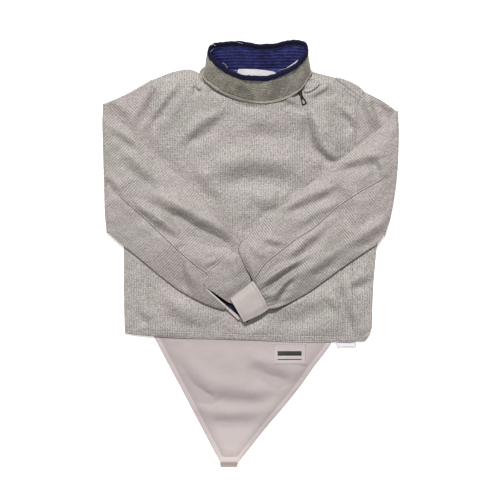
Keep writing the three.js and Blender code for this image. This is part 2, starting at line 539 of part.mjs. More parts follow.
// ---------------------------------------------------------------- crotch tongue, labels
add('tongue', panel(rowsPatch(TONGUE), 8, 10, () => 0, () => WALL), 'white');
add('tongue_loop', panel(rowsPatch([{ y: -426.5, l: -59, r: -26 }, { y: -417.4, l: -60, r: -24 }]), 3, 2, () => 0, () => WALL), 'white');
add('tongue_patch', panel(rowsPatch([{ y: -222, l: 45, r: 113 }, { y: -178.5, l: 45, r: 113 }]), 4, 3,
  () => WALL + SEAM, () => WALL + SEAM + TRIM), 'label');
add('hem_label', panel(rowsPatch([{ y: -187, l: 173, r: 209 }, { y: -162, l: 173, r: 209 }]), 4, 3, () => 0, () => TRIM), 'label');

// ---------------------------------------------------------------- zip slider and pull tab
{
  const ang = Math.atan2(-25, 9.5); // the way the tab hangs, in plan
  const base = top(PULL.x, PULL.y) + 0.4;
  const pin = base + 1.6 + 0.5 + 1.9;
  const box = (lx, ly, lz, x, y, z) => new THREE.BoxGeometry(lx, ly, lz).translate(x, y, z);
  const rod = (r, len, seg = 12) => new THREE.CylinderGeometry(r, r, len, seg); // along Y
  const place = (g) => g.rotateZ(ang).translate(PULL.x, PULL.y, 0);
  let slider = toManifold(place(box(9, 7.6, 1.6, 1, 0, base + 0.8)));
  for (const y of [-2.5, 2.5]) slider = slider.add(toManifold(place(box(2.6, 1.2, pin + 1 - base - 0.8, 0, y, (pin + 1 + base + 0.8) / 2))));
  slider = slider.add(toManifold(place(rod(0.7, 5.4).translate(0, 0, pin))));
  add('zip_slider', fromManifold(slider), 'metal');

  const P = PULL, s = new THREE.Shape();
  s.moveTo(1.4, -1.3); s.lineTo(6, -P.narrow / 2); s.lineTo(P.length - 3, -P.wide / 2); s.lineTo(P.length, -P.wide / 2 + 2);
  s.lineTo(P.length, P.wide / 2 - 2); s.lineTo(P.length - 3, P.wide / 2); s.lineTo(6, P.narrow / 2); s.lineTo(1.4, 1.3);
  const hole = new THREE.Path();
  hole.absellipse(P.length - 6, 0, 3, 2.2, 0, 2 * Math.PI, true, 0);
  s.holes.push(hole);
  const plate = new THREE.ExtrudeGeometry(s, { depth: P.thick, bevelEnabled: false, curveSegments: 10 }).translate(0, 0, -P.thick / 2);
  const eye = toManifold(rod(1.9, 2.8, 16)).subtract(toManifold(rod(1.1, 4, 16)));
  const tilt = (g) => g.rotateY((P.drop * Math.PI) / 180).rotateZ(ang).translate(P.x, P.y, pin);
  const whole = fromManifold(toManifold(plate).add(eye));
  add('zip_pull', tilt(whole), 'metal');
}

export default lame;
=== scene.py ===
# Electric sabre lame (fencing jacket) laid flat: fine cloth, stitching, metal parts and finishes.
import math

import bmesh
import bpy
import numpy as np
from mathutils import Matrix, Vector


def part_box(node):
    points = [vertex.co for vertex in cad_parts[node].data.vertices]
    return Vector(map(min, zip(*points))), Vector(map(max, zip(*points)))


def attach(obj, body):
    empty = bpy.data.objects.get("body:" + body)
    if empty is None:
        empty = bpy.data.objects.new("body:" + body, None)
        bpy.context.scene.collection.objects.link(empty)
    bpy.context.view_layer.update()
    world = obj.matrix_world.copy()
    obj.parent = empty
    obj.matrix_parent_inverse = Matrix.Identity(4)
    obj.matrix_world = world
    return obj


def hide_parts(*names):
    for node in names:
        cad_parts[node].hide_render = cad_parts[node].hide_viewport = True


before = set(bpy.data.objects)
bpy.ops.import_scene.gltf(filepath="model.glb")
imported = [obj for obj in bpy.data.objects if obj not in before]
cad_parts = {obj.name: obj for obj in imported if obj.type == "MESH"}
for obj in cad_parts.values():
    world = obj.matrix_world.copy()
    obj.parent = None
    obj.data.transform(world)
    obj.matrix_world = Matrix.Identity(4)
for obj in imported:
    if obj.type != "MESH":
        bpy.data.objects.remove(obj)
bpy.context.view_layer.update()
scene = bpy.context.scene
MM = 0.001
OFF = (-0.5, 2.0)  # the cut lines' own middle, as in the solids


# ------------------------------------------------------------------ camera, light, floor
def at(px, py):
    """A pixel of the photograph, as mm on the surface."""
    return ((px - 250.0) * 2.0, (253.5 - py) * 2.0)


cam_data = bpy.data.cameras.new("cam")
cam = bpy.data.objects.new("cam", cam_data)
scene.collection.objects.link(cam)
cam.location = (OFF[0] * MM, (7 + OFF[1]) * MM, 3.0)
cam.rotation_euler = (0, 0, 0)
cam_data.lens = 108.0
cam_data.sensor_width = 36.0
cam_data.clip_end = 20
scene.camera = cam
scene.view_settings.view_transform = "Standard"
scene.view_settings.look = "None"


def lamp(name, kind, loc, target, energy, size=1.0, color=(1, 1, 1)):
    d = bpy.data.lights.new(name, kind)
    d.energy = energy
    d.color = color
    if kind == "AREA":
        d.shape = "RECTANGLE"
        d.size, d.size_y = size if isinstance(size, tuple) else (size, size)
    if kind == "SUN":
        d.angle = math.radians(size)
    o = bpy.data.objects.new(name, d)
    scene.collection.objects.link(o)
    o.location = loc
    o.rotation_euler = (Vector(target) - Vector(loc)).to_track_quat("-Z", "Y").to_euler()
    return o


lamp("key", "SUN", (-0.3, 2.0, 2.45), (0, 0, 0), 2.95, 5, (1.0, 0.985, 0.97))
lamp("top", "AREA", (0.0, 0.5, 2.2), (0, 0, 0), 3, (2.4, 1.6))
lamp("fill", "AREA", (0.3, -1.9, 1.4), (0, 0, 0), 1.5, (2.2, 1.2), (0.96, 0.98, 1.0))
world = bpy.data.worlds.new("studio")
scene.world = world
world.use_nodes = True
world.node_tree.nodes["Background"].inputs[0].default_value = (1.0, 0.95, 0.94, 1)
world.node_tree.nodes["Background"].inputs[1].default_value = 0.26


# ------------------------------------------------------------------ node helper
class Nodes:
    def __init__(self, name, **sockets):
        self.mat = bpy.data.materials.new(name)
        self.mat.use_nodes = True
        self.t = self.mat.node_tree
        self.t.nodes.clear()
        self.out = self.t.nodes.new("ShaderNodeOutputMaterial")
        self.bsdf = self.t.nodes.new("ShaderNodeBsdfPrincipled")
        self.t.links.new(self.bsdf.outputs[0], self.out.inputs[0])
        for k, v in sockets.items():
            self.bsdf.inputs[k.replace("_", " ")].default_value = v

    def link(self, a, b):
        self.t.links.new(a, b)

    def node(self, kind, **props):
        n = self.t.nodes.new("ShaderNode" + kind)
        for k, v in props.items():
            setattr(n, k, v)
        return n

    def math(self, op, a, b=None, clamp=False):
        n = self.node("Math", operation=op, use_clamp=clamp)
        for i, v in enumerate((a, b)):
            if v is None:
                continue
            if isinstance(v, (int, float)):
                n.inputs[i].default_value = v
            else:
                self.link(v, n.inputs[i])
        return n.outputs[0]

    def uv(self):
        if not hasattr(self, "_uv"):
            n = self.node("UVMap")
            n.uv_map = "cloth"
            s = self.node("SeparateXYZ")
            self.link(n.outputs[0], s.inputs[0])
            self._uv = (n.outputs[0], s.outputs[0], s.outputs[1])
        return self._uv

    def place(self):
        if not hasattr(self, "_obj"):
            n = self.node("TexCoord")
            s = self.node("SeparateXYZ")
            self.link(n.outputs["Object"], s.inputs[0])
            self._obj = (n.outputs["Object"], s.outputs[0], s.outputs[1], s.outputs[2])
        return self._obj

    def noise(self, vector, scale, detail=2.0, rough=0.5, lo=0.3, hi=0.7):
        n = self.node("TexNoise")
        self.link(vector, n.inputs["Vector"])
        n.inputs["Scale"].default_value = scale
        n.inputs["Detail"].default_value = detail
        n.inputs["Roughness"].default_value = rough
        return self.ramp(n.outputs[0], lo, hi)

    def ramp(self, value, lo, hi, a=0.0, b=1.0):
        n = self.node("MapRange")
        self.link(value, n.inputs["Value"])
        for k, v in zip(("From Min", "From Max", "To Min", "To Max"), (lo, hi, a, b)):
            n.inputs[k].default_value = v
        return n.outputs[0]

    def mix(self, f, a, b, mode="MIX"):
        n = self.node("Mix", data_type="RGBA", blend_type=mode)
        ins = [i for i in n.inputs if i.enabled]
        for s, v in ((n.inputs["Factor"] if False else n.inputs[0], f), (n.inputs[6], a), (n.inputs[7], b)):
            if isinstance(v, (int, float)):
                s.default_value = v
            elif isinstance(v, tuple):
                s.default_value = (*v, 1) if len(v) == 3 else v
            else:
                self.link(v, s)
        return n.outputs[2]

    def combine(self, x, y, z=0.0):
        n = self.node("CombineXYZ")
        for i, v in enumerate((x, y, z)):
            if isinstance(v, (int, float)):
                n.inputs[i].default_value = v
            else:
                self.link(v, n.inputs[i])
        return n.outputs[0]

    def bump(self, height, distance, strength=1.0, normal=None):
        n = self.node("Bump")
        n.inputs["Distance"].default_value = distance
        n.inputs["Strength"].default_value = strength
        self.link(height, n.inputs["Height"])
        if normal is not None:
            self.link(normal, n.inputs["Normal"])
        self.link(n.outputs[0], self.bsdf.inputs["Normal"])
        return n.outputs[0]

    def color(self, c):
        self.link(c, self.bsdf.inputs["Base Color"])


def lin(r, g, b):
    """An sRGB colour of 0 to 255 as linear numbers."""
    f = lambda c: c / 12.92 if c <= 0.04045 else ((c + 0.055) / 1.055) ** 2.4
    return tuple(f(v / 255) for v in (r, g, b))


def waves(m, value, pitch, wobble=None):
    """0 to 1 stripes of a pitch, in metres, across a coordinate."""
    if wobble is not None:
        value = m.math("ADD", value, wobble)
    return m.math("ADD", m.math("MULTIPLY", m.math("SINE", m.math("MULTIPLY", value, 2 * math.pi / pitch)), 0.5), 0.5)


def lame_cloth(name, pinkish, greenish, dark, rib=0.0044, rib_gain=0.3, green_bias=0.0, gain=1.0, low_end=1.0, shade_drift=0.0):
    """Woven metallic thread: ribs, crossing threads, glints and broad pink to green drifts."""
    m = Nodes(name, Roughness=0.55, Metallic=0.12)
    uv, u, v = m.uv()
    obj = m.place()[0]
    # the ribs wander a little, and come and go
    wob = m.math("MULTIPLY", m.math("SUBTRACT", m.noise(m.combine(m.math("MULTIPLY", u, 0.5), v), 26, 2), 0.5), 0.0022)
    ribs = waves(m, u, rib, wob)
    threads = waves(m, v, 0.0036, m.math("MULTIPLY", m.noise(uv, 300, 1), 0.002))
    long = m.noise(m.combine(u, m.math("MULTIPLY", v, 0.4)), 300, 2, 0.6, 0.34, 0.66)
    grain = m.noise(uv, 330, 2, 0.7, 0.34, 0.66)
    fine = m.noise(uv, 760, 1, 0.5, 0.3, 0.7)
    cloud = m.noise(obj, 9, 2.5, 0.55, 0.3, 0.7)
    cloud2 = m.noise(m.combine(m.place()[2], m.place()[1]), 15, 2, 0.5, 0.35, 0.65)
    strength = m.ramp(m.noise(obj, 17, 2, 0.5, 0.35, 0.65), 0, 1, 0.15, 1.0)
    base = m.mix(m.math("ADD", cloud, green_bias, True), pinkish, greenish)
    base = m.mix(m.math("MULTIPLY", cloud2, 0.12), base, lin(206, 200, 193))
    if shade_drift:
        # broad random patches darkened towards dark: painted shade
        base = m.mix(m.math("MULTIPLY", m.noise(obj, 31, 2.5, 0.6, 0.42, 0.62), shade_drift), base, dark)
    part = lambda x, k: m.math("MULTIPLY", m.math("SUBTRACT", x, 0.5), k * gain)
    weave = m.math("ADD", m.math("MULTIPLY", part(ribs, rib_gain), strength),
                   m.math("ADD", part(threads, 0.08), m.math("ADD", part(long, 0.26), m.math("ADD", part(grain, 0.62), part(fine, 0.3)))))
    n = m.node("VectorMath", operation="SCALE")
    m.link(base, n.inputs[0])
    tone = m.math("ADD", weave, 1.0)
    if low_end < 1:
        tone = m.math("MULTIPLY", tone, m.ramp(m.place()[2], -0.13, 0.03, low_end, 1.0))
    m.link(tone, n.inputs["Scale"])
    shade = m.mix(m.math("MULTIPLY", m.ramp(weave, -0.55, -0.2, 1, 0), 0.3), n.outputs[0], dark)
    m.color(shade)
    m.link(m.ramp(fine, 0, 1, 0.5, 0.7), m.bsdf.inputs["Roughness"])
    height = m.math("ADD", ribs, m.math("ADD", m.math("MULTIPLY", grain, 0.8), m.math("MULTIPLY", threads, 0.4)))
    b = m.bump(height, 0.0007, 0.5)
    m.bump(m.noise(obj, 50, 3, 0.55), 0.003, 0.4, b)
    return m.mat


def plain_cloth(name, top, low, rough=0.75, pitch=0.0014, y_from=-0.43, y_to=-0.16, depth=0.4, speck=0.05, band=False):
    """Smooth, close woven cloth; its tone goes from low to top along Y, a painted shade gradient (on the tongue, darker
    towards the front's hem).
    """
    m = Nodes(name, Roughness=rough, Metallic=0.0)
    m.bsdf.inputs["Sheen Weight"].default_value = 0.12
    uv, u, v = m.uv()
    obj, x, y, z = m.place()
    cloud = m.noise(obj, 14, 3, 0.55, 0.3, 0.7)
    # painted shade: the colour darkens from low to top along Y
    base = m.mix(m.ramp(y, y_from, y_to), low, top)
    base = m.mix(m.math("MULTIPLY", cloud, 0.1), base, lin(222, 211, 210))
    a, b = waves(m, u, pitch), waves(m, v, pitch)
    grain = m.noise(uv, 900, 2, 0.6, 0.3, 0.7)
    tone = m.math("ADD", 1.0, m.math("ADD", m.math("MULTIPLY", m.math("SUBTRACT", a, 0.5), speck), m.math("MULTIPLY", m.math("SUBTRACT", grain, 0.5), speck * 1.4)))
    n = m.node("VectorMath", operation="SCALE")
    m.link(base, n.inputs[0])
    m.link(tone, n.inputs["Scale"])
    if band:
        # the doubled hem is paler; just inside its inner edge the cloth is darkened, painted shade fading away over
        # some 16 mm
        e = m.node("Attribute", attribute_name="edge_mm")
        inner = m.ramp(e.outputs["Fac"], 9.2, 10.2)
        line = m.math("MULTIPLY", inner, m.ramp(e.outputs["Fac"], 10.2, 26.0, 1, 0.3))
        m.color(m.mix(m.math("MULTIPLY", line, 0.42, True), m.mix(m.ramp(e.outputs["Fac"], 9.0, 10.0, 0.22, 0.0), n.outputs[0], lin(228, 216, 214)), lin(160, 148, 148)))
    else:
        m.color(n.outputs[0])
    h = m.math("ADD", m.math("MULTIPLY", a, b), m.math("MULTIPLY", grain, 0.5))
    b1 = m.bump(h, 0.0003, depth)
    m.bump(m.noise(obj, 48, 3, 0.5), 0.0018, 0.3, b1)
    return m.mat


def navy_cloth(name, main, deep, rows=True, glint=lin(112, 116, 178)):
    """Matt navy lining with quilting rows a few mm apart, each a line of small pale stitches."""
    m = Nodes(name, Roughness=0.85, Metallic=0.0)
    m.bsdf.inputs["Specular IOR Level"].default_value = 0.25
    uv, u, v = m.uv()
    obj = m.place()[0]
    cloud = m.noise(obj, 60, 3, 0.6, 0.3, 0.7)
    grain = m.noise(uv, 700, 2, 0.6, 0.3, 0.7)
    base = m.mix(cloud, deep, main)
    base = m.mix(m.math("MULTIPLY", grain, 0.28), base, glint)
    height = grain
    if rows:
        pitch = 0.0072
        line = m.ramp(waves(m, v, pitch), 0.0, 0.12, 1, 0)
        line.node.clamp = True
        dash = m.ramp(waves(m, u, 0.0036, m.math("MULTIPLY", cloud, 0.002)), 0.35, 0.5)
        wear = m.noise(uv, 120, 2, 0.6, 0.42, 0.6)
        # each row's groove darkened towards deep: painted shade in the quilting grooves
        base = m.mix(m.math("MULTIPLY", m.ramp(waves(m, v, pitch), 0.0, 0.3, 0.55, 0), 1.0, True), base, deep)
        base = m.mix(m.math("MULTIPLY", m.math("MULTIPLY", line, dash), m.math("MULTIPLY", wear, 0.6)), base, lin(150, 154, 205))
        groove = m.ramp(waves(m, v, pitch), 0.0, 0.35, 0, 1)
        height = m.math("ADD", m.math("MULTIPLY", grain, 0.3), groove)
    m.color(base)
    m.bump(height, 0.0006, 0.6)
    return m.mat


def thread_mat(name, color):
    m = Nodes(name, Roughness=0.6)
    obj = m.place()[0]
    m.color(m.mix(m.noise(obj, 900, 1), color, tuple(min(1, c * 1.35) for c in color)))
    m.bump(m.noise(obj, 2600, 1), 0.0002, 0.4)
    return m.mat


def metal_mat(name):
    m = Nodes(name, Roughness=0.46, Metallic=0.6)
    obj = m.place()[0]
    wear = m.noise(obj, 260, 4, 0.6, 0.35, 0.8)
    m.color(m.mix(wear, lin(28, 25, 22), lin(58, 53, 48)))
    m.link(m.ramp(m.noise(obj, 700, 2), 0, 1, 0.38, 0.58), m.bsdf.inputs["Roughness"])
    m.bump(m.noise(obj, 900, 3), 0.0002, 0.35)
    return m.mat


LAME = lame_cloth("lame_cloth", lin(174, 166, 164), lin(169, 167, 161), lin(106, 99, 95), 0.0048, 0.4, 0.0, 0.95)
LAME_SLEEVE = lame_cloth("lame_sleeve", lin(174, 165, 163), lin(167, 164, 158), lin(98, 90, 87), 0.0044, 0.7, -0.15, 0.7, low_end=0.74)
COLLAR_CLOTH = lame_cloth("collar_cloth", lin(170, 165, 155), lin(164, 162, 148), lin(88, 85, 77), 0.0036, 0.3, 0.1, 1.0, shade_drift=0.42)
# the tongue is darker towards the front's hem: painted shade
TONGUE = plain_cloth("tongue_cloth", lin(189, 179, 179), lin(235, 224, 221), y_from=-0.425, y_to=-0.335, band=True)
CUFF = plain_cloth("cuff_cloth", lin(187, 180, 176), lin(187, 180, 176), 0.7, speck=0.1)
LABEL = plain_cloth("label_cloth", lin(226, 225, 230), lin(226, 225, 230), 0.6, 0.001, speck=0.03)
PATCH = plain_cloth("patch_cloth", lin(193, 184, 184), lin(193, 184, 184), 0.7, 0.0012, speck=0.1)
ELASTIC = plain_cloth("elastic_tape", lin(166, 150, 139), lin(166, 150, 139), 0.8, 0.0016, speck=0.3)
LIP = plain_cloth("placket_lip", lin(206, 199, 195), lin(206, 199, 195), 0.7, speck=0.1)
NAVY = navy_cloth("navy_lining", lin(70, 75, 160), lin(31, 33, 92))
NAVY_EDGE = navy_cloth("navy_binding", lin(19, 18, 52), lin(7, 6, 22), rows=False, glint=lin(58, 60, 104))
# the sleeves' inner faces, near black: painted shade of the sleeve's inside where it shows at the slit
NAVY_IN_SHADE = navy_cloth("sleeve_inside_shade", lin(16, 14, 22), lin(5, 5, 8), rows=False, glint=lin(26, 25, 34))
THREAD = thread_mat("thread_grey", lin(122, 115, 111))
THREAD_PALE = thread_mat("thread_pale", lin(172, 163, 161))
THREAD_DARK = thread_mat("thread_dark", lin(30, 28, 28))
METAL = metal_mat("zip_metal")
THREAD_NAVY = thread_mat("thread_navy", lin(92, 94, 140))
THREAD_MID = thread_mat("thread_mid", lin(78, 74, 73))
THREAD_WHITE = thread_mat("thread_white", lin(196, 196, 205))

fm = Nodes("floor_paper", Roughness=0.9)
fm.color(fm.mix(fm.noise(fm.place()[0], 3, 2), lin(249, 249, 249), lin(252, 252, 252)))
fm.bsdf.inputs["Emission Color"].default_value = (1, 1, 1, 1)
fm.bsdf.inputs["Emission Strength"].default_value = 0.45
bm = bmesh.new()
for c in ((-6, -6), (6, -6), (6, 6), (-6, 6)):
    bm.verts.new((c[0], c[1], -0.0002))
bm.faces.new(bm.verts)
floor_mesh = bpy.data.meshes.new("floor")
bm.to_mesh(floor_mesh)
bm.free()
floor = bpy.data.objects.new("floor", floor_mesh)
scene.collection.objects.link(floor)
floor_mesh.materials.append(fm.mat)

# ------------------------------------------------------------------ sizes, in mm
WALL, SEAM = 1.6, 0.3
EDGE_TOP, HEM_TOP, CROWN, NECK_RISE = 4.6, 3.5, 2.4, 2.2
CAP_HALF, ARM_HALF, EDGE_HALF = 2.3, 3.4, 1.75
CLEAR, LIFT, LIFT_FROM, LIFT_RUN = 1.0, 7.9, 105.0, 70.0
CUFF_HALF, CUFF_WALL = 2.6, 1.2
COLLAR_WALL, LINING_WALL, BINDING_WALL, BINDING_DEPTH, TRIM = 1.4, 1.2, 1.0, 8.0, 1.0

HEM = [(-206, -165), (-128, -169), (0, -173), (45, -175), (114, -177), (171, -177)]
ARMHOLE_R = [(-199, 346), (-195, 334), (-197, 307), (-198, 271), (-201, 236), (-206, 178), (-220, 148), (-251.7, 107)]
ARMHOLE_L = [(229, 323), (220, 311), (213, 290), (212, 260), (213, 227), (213, 180), (230, 142), (256, 103)]
SHOULDER_R = [(-199, 346), (-180, 353), (-160, 361), (-140, 366), (-120, 368), (-97, 359)]
SHOULDER_L = [(127, 363), (150, 356.5), (172, 351), (190, 347), (216, 335), (229, 323)]
BACK_NECK = [(-97, 359), (-84, 368), (-36, 371), (24, 371), (84, 371), (116, 368), (127, 363)]
FRONT_NECK = [(-97, 357), (-84, 344), (-40, 320), (20, 306), (66, 312), (101, 327)]
ZIP = [(101, 327), (104, 313), (109, 290), (115, 261), (126, 223), (142, 187), (162, 117), (174, 47),
       (180, -17), (180, -73), (176, -113), (172, -159), (171, -177)]
SIDE_SEAM_R = [(-206, -165), (-205, -60), (-205, 60), (-206, 178)]
SIDE_SEAM_L = [(203, -176.5), (205, -80), (206, 60), (213, 180)]
SIDE_EDGE_R = [(-248, -160), (-249.8, -93), (-250.2, -23), (-250.8, 27), (-251.7, 107)]
SIDE_EDGE_L = [(236, -166), (241.5, -147), (242.4, -93), (245.8, -43), (250.8, 7), (254.6, 31), (256, 103)]
SIDE_HEM_R = [(-206, -165), (-228, -163), (-248, -160)]
SIDE_HEM_L = [(203, -176.5), (216, -176.2), (229, -175), (236, -166)]
BACK_SEAM, BACK_HEM = 214.0, -148.0

# Sleeve sections: upper edge x, y, lower edge x, y, and where the seam lies (a slit where the two differ).
SLEEVE_R = dict(
    cap=[(-245, 320, -272, 73)], fold=(-290, 300, -283, 41), f=0.6,
    arm=[(-240, 248, -262, 22, .62, .62), (-184, 193, -236, 2, .62, .62), (-132, 150, -208, -21, .64, .64),
         (-88, 104, -178, -46, .645, .645), (-48, 61, -144, -72, .64, .64), (-20, 25, -120, -86, .635, .635),
         (-14, 16, -114, -89, .765, .775), (-8, -8, -85.5, -102.5, .77, .805), (-1, -40, -57.5, -111.5, .78, .855),
         (4, -57, -51, -111, .78, .9)])
SLEEVE_L = dict(
    cap=[(263, 306, 268, 62)], fold=(292.4, 285, 266, 35), f=0.41,
    arm=[(258, 252, 254, 19, .446, .446), (212, 214, 224, -1, .43, .43), (160, 173, 188, -26, .42, .42),
         (112, 134, 152, -52, .44, .44), (70, 101, 116, -78, .42, .42), (34, 75, 84, -96, .44, .44),
         (4, 42, 64, -105, .435, .435), (-22, 13, 53, -109, .475, .475), (-13, -18, 45, -110.5, .37, .37),
         (6, -54, 37.2, -111, .13, .13)])
SEAM_IN = 0.45
CUFF_R = [(4, -59.6, -49.6, -111.4), (14, -76, -33, -124), (29, -110, -10, -141)]
CUFF_L = [(5, -54.9, 35.9, -111.8), (-8, -66, 22, -121), (-24, -78, 6, -129), (-39, -90, -12, -137)]
COLLAR = [
    (110, 338, 13, 103, 384, 43), (96, 322, 14, 88, 371, 43.5), (64, 305.5, 14.5, 58, 355, 44),
    (20, 299, 14.5, 18, 347, 44), (-40, 312, 14.5, -28, 354, 44), (-83, 338, 13.8, -64, 377, 43),
    (-95, 356, 11, -81, 400, 42), (-84, 369, 4.5, -71, 413, 40.5), (-36, 372, 2.6, -26, 419, 39),
    (24, 372, 2.6, 28, 412, 38), (84, 372, 3, 84, 421, 39), (118, 367, 7, 110, 415, 41),
    (121, 356, 11, 112, 397, 43), (111.4, 340.4, 12.8, 104.4, 386.2, 43)]
TONGUE_ROWS = [(-158, -197, 170), (-180, -185, 162), (-203, -173, 146), (-223, -162.5, 130), (-263, -141, 102),
               (-303, -120, 70), (-343, -99, 36), (-383, -78, 4), (-417, -60, -23)]
UNDERLAP = [(107, 321), (118, 321), (130, 328), (139, 337), (138, 345), (131, 351), (118, 351.5), (110, 343)]
FACING_ROWS = [(336, -62, 84), (350, -80, 106), (360, -84, 112), (369.8, -76, 106)]

# Folds, placed by pixels of the photograph: kind, width and height in mm, then the line. A step falls away
# from the light, a trough dips and a ridge rises.
BODY_FOLDS = [
    ("step", 10, 2.6, [(223, 115), (204, 128), (185, 143)]),
    ("step", 8, 1.6, [(157, 83), (146, 105), (135, 127)]),
    ("step", 7, 1.6, [(179, 87), (166, 104), (151, 123)]),
    ("ridge", 8, 1.6, [(189, 89), (170, 115), (153, 141)]),
    ("step", 19, 3.2, [(212, 178), (235, 172), (255, 170), (276, 172), (293, 177), (303, 187)]),
    ("trough", 9, 1.9, [(243, 214), (245, 224), (247, 235)]),
    ("step", 10, 3.4, [(309, 114), (312, 128), (316, 142), (322, 151), (333, 159)]),
    ("step", 6, 1.6, [(322, 153), (330, 159), (338, 162)]),
    ("ridge", 10, 2.0, [(319, 106), (326, 122), (336, 142), (343, 150)]),
    ("trough", 10, 1.3, [(333, 112), (341, 126), (350, 140)]),
    ("step", 14, 1.5, [(252, 196), (262, 204), (276, 210)]),
    ("step", 7, 1.8, [(341, 111), (350, 120), (355, 131)]),
    ("trough", 7, 2.0, [(311, 101), (322, 97), (335, 93)]),
    ("trough", 6, 1.6, [(207, 90), (215, 92), (224, 95)]),
    ("step", 6, 1.3, [(235, 100), (250, 104), (266, 105)]),
    ("step", 6, 1.6, [(283, 99), (294, 104), (305, 106)]),
    ("step", 7, 1.4, [(141, 311), (145, 316), (150, 322)]),
    ("trough", 7, 2.6, [(337, 284), (340, 296), (344, 310), (349, 326), (354, 341)]),
    ("ridge", 9, 2.2, [(345, 280), (351, 300), (357, 328)]),
    ("step", 9, 1.6, [(325, 296), (332, 305), (338, 312)]),
    ("step", 8, 1.8, [(349, 287), (359, 283), (370, 277)]),
    ("step", 17, 2.2, [(270, 316), (298, 311), (324, 302)]),
    ("step", 12, 1.4, [(165, 305), (185, 318), (205, 325)]),
    ("trough", 3.0, 2.2, [(195, 86), (195.6, 89), (197, 91), (200.5, 92.6)]),
    ("ridge", 3.0, 1.6, [(197.6, 86), (199, 89), (201, 91)]),
    ("trough", 8, 1.2, [(212, 318), (216, 327), (219, 335)]),
    ("trough", 9, 1.0, [(256, 305), (254, 320), (257, 334)]),
    ("ridge", 9, 1.1, [(182, 290), (186, 310), (184, 328)]),
    ("step", 13, 1.4, [(246, 132), (262, 128), (284, 133)]),
    ("trough", 12, 1.1, [(292, 118), (296, 138), (306, 158)]),
    ("step", 11, 1.2, [(196, 170), (206, 186), (222, 200)]),
]
BODY_FINE_FOLDS = [
    ("ridge", 2.6, 1.3, [(325, 78), (327.4, 80.5), (326, 87), (318, 92.5), (308, 97)]),
    ("trough", 2.4, 1.0, [(327, 77), (330, 81), (328.5, 88.5), (320, 95), (309, 99.5)]),
]
SLEEVE_R_FOLDS = [
    ("step", 8, 1.8, [(113, 131), (128, 141), (141, 153)]),
    ("step", 7, 1.5, [(107, 177), (114, 186), (121, 195)]),
    ("step", 9, 2.8, [(135, 205), (150, 217), (164, 227), (180, 238)]),
    ("step", 15, 5.6, [(158, 203), (180, 214), (199, 225), (218, 234), (238, 246)]),
    ("step", 7, 1.6, [(183, 259), (187, 275), (193, 291)]),
    ("step", 5, 1.1, [(205, 267), (212, 264), (219, 261)]),
    ("trough", 5, 1.2, [(178, 246), (184, 248)]),
    ("ridge", 9, 1.4, [(150, 190), (170, 200), (190, 207)]),
    ("trough", 5, 1.2, [(240, 256), (245, 266), (249, 278)]),
    ("ridge", 6, 1.2, [(228, 254), (234, 266), (237, 278)]),
    ("step", 10, 1.3, [(118, 150), (140, 172), (158, 186)]),
]
SLEEVE_L_FOLDS = [
    ("step", 8, 1.9, [(339, 169), (360, 162), (379, 157)]),
    ("step", 7, 1.8, [(373, 159), (376, 169), (377, 180)]),
    ("step", 9, 2.2, [(285, 211), (310, 200), (335, 189)]),
    ("trough", 8, 2.2, [(333, 185), (343, 201), (345, 216), (345, 231)]),
    ("ridge", 8, 1.5, [(350, 190), (357, 205), (356, 228)]),
    ("step", 8, 2.0, [(287, 261), (304, 247), (321, 233)]),
    ("step", 6, 1.5, [(263, 240), (272, 243), (282, 245)]),
    ("ridge", 5, 1.5, [(249, 242), (256, 250), (266, 257)]),
    ("step", 9, 1.3, [(300, 226), (322, 214), (338, 206)]),
    ("ridge", 9, 1.2, [(360, 240), (372, 230), (384, 214)]),
    ("step", 9, 1.4, [(350, 246), (366, 238), (382, 226)]),
    ("step", 8, 1.5, [(305, 277), (322, 266), (340, 252)]),
    ("step", 6, 2.4, [(259, 289), (270, 281), (287, 270), (309, 257)]),
    ("trough", 4, 1.6, [(264, 293), (275, 285), (283, 280)]),
    ("step", 5.5, 2.4, [(266, 301), (277, 297), (285, 285), (297, 276)]),
    ("ridge", 5, 1.4, [(262, 284), (280, 271), (294, 264)]),
]
BACK_FOLDS = [
    ("ridge", 9, 1.1, [(190, 110), (214, 122), (236, 128)]),
    ("ridge", 12, 1.0, [(270, 102), (262, 130), (266, 162)]),
    ("ridge", 8, 1.1, [(168, 165), (190, 178), (204, 200)]),
    ("ridge", 14, 0.9, [(300, 150), (288, 190), (296, 230)]),
    ("ridge", 7, 1.2, [(322, 128), (330, 150), (326, 178)]),
    ("ridge", 11, 1.0, [(182, 236), (214, 246), (250, 240)]),
    ("ridge", 9, 1.0, [(318, 240), (306, 268), (312, 296)]),
    ("ridge", 13, 0.9, [(200, 290), (232, 300), (268, 294)]),
    ("ridge", 6, 1.1, [(166, 262), (172, 286), (166, 308)]),
]
CAP_R_FOLDS = [("step", 9, 1.8, [(105, 102), (115, 109), (127, 118)]), ("step", 8, 1.3, [(157, 83), (146, 105), (135, 127)])]
CAP_L_FOLDS = [("ridge", 6, 5.2, [(366, 93), (369, 106), (375, 127)]), ("trough", 8, 3.2, [(373, 98), (377, 110), (383, 122)]), ("ridge", 7, 2.0, [(380, 100), (388, 106), (394, 112)])]
TONGUE_FOLDS = [
    ("step", 15, 2.9, [(182, 348), (185, 362), (191, 374), (200, 384), (212, 391), (228, 395), (246, 397), (262, 396), (276, 392)]),
    ("step", 15, 2.7, [(247, 358), (258, 365), (270, 371), (282, 375), (294, 376)]),
    ("step", 13, 2.5, [(202, 413), (220, 417), (240, 417), (262, 414)]),
    ("ridge", 16, 1.4, [(225, 350), (238, 372), (252, 386)]),
    ("step", 9, 1.2, [(204, 389), (210, 396), (214, 404)]),
    ("trough", 12, 0.9, [(282, 372), (276, 390), (262, 404)]),
]


# ------------------------------------------------------------------ lines and patches
def ss(t):
    c = np.clip(t, 0.0, 1.0)
    return c * c * (3 - 2 * c)


def lerp(a, b, t):
    return a + (b - a) * t


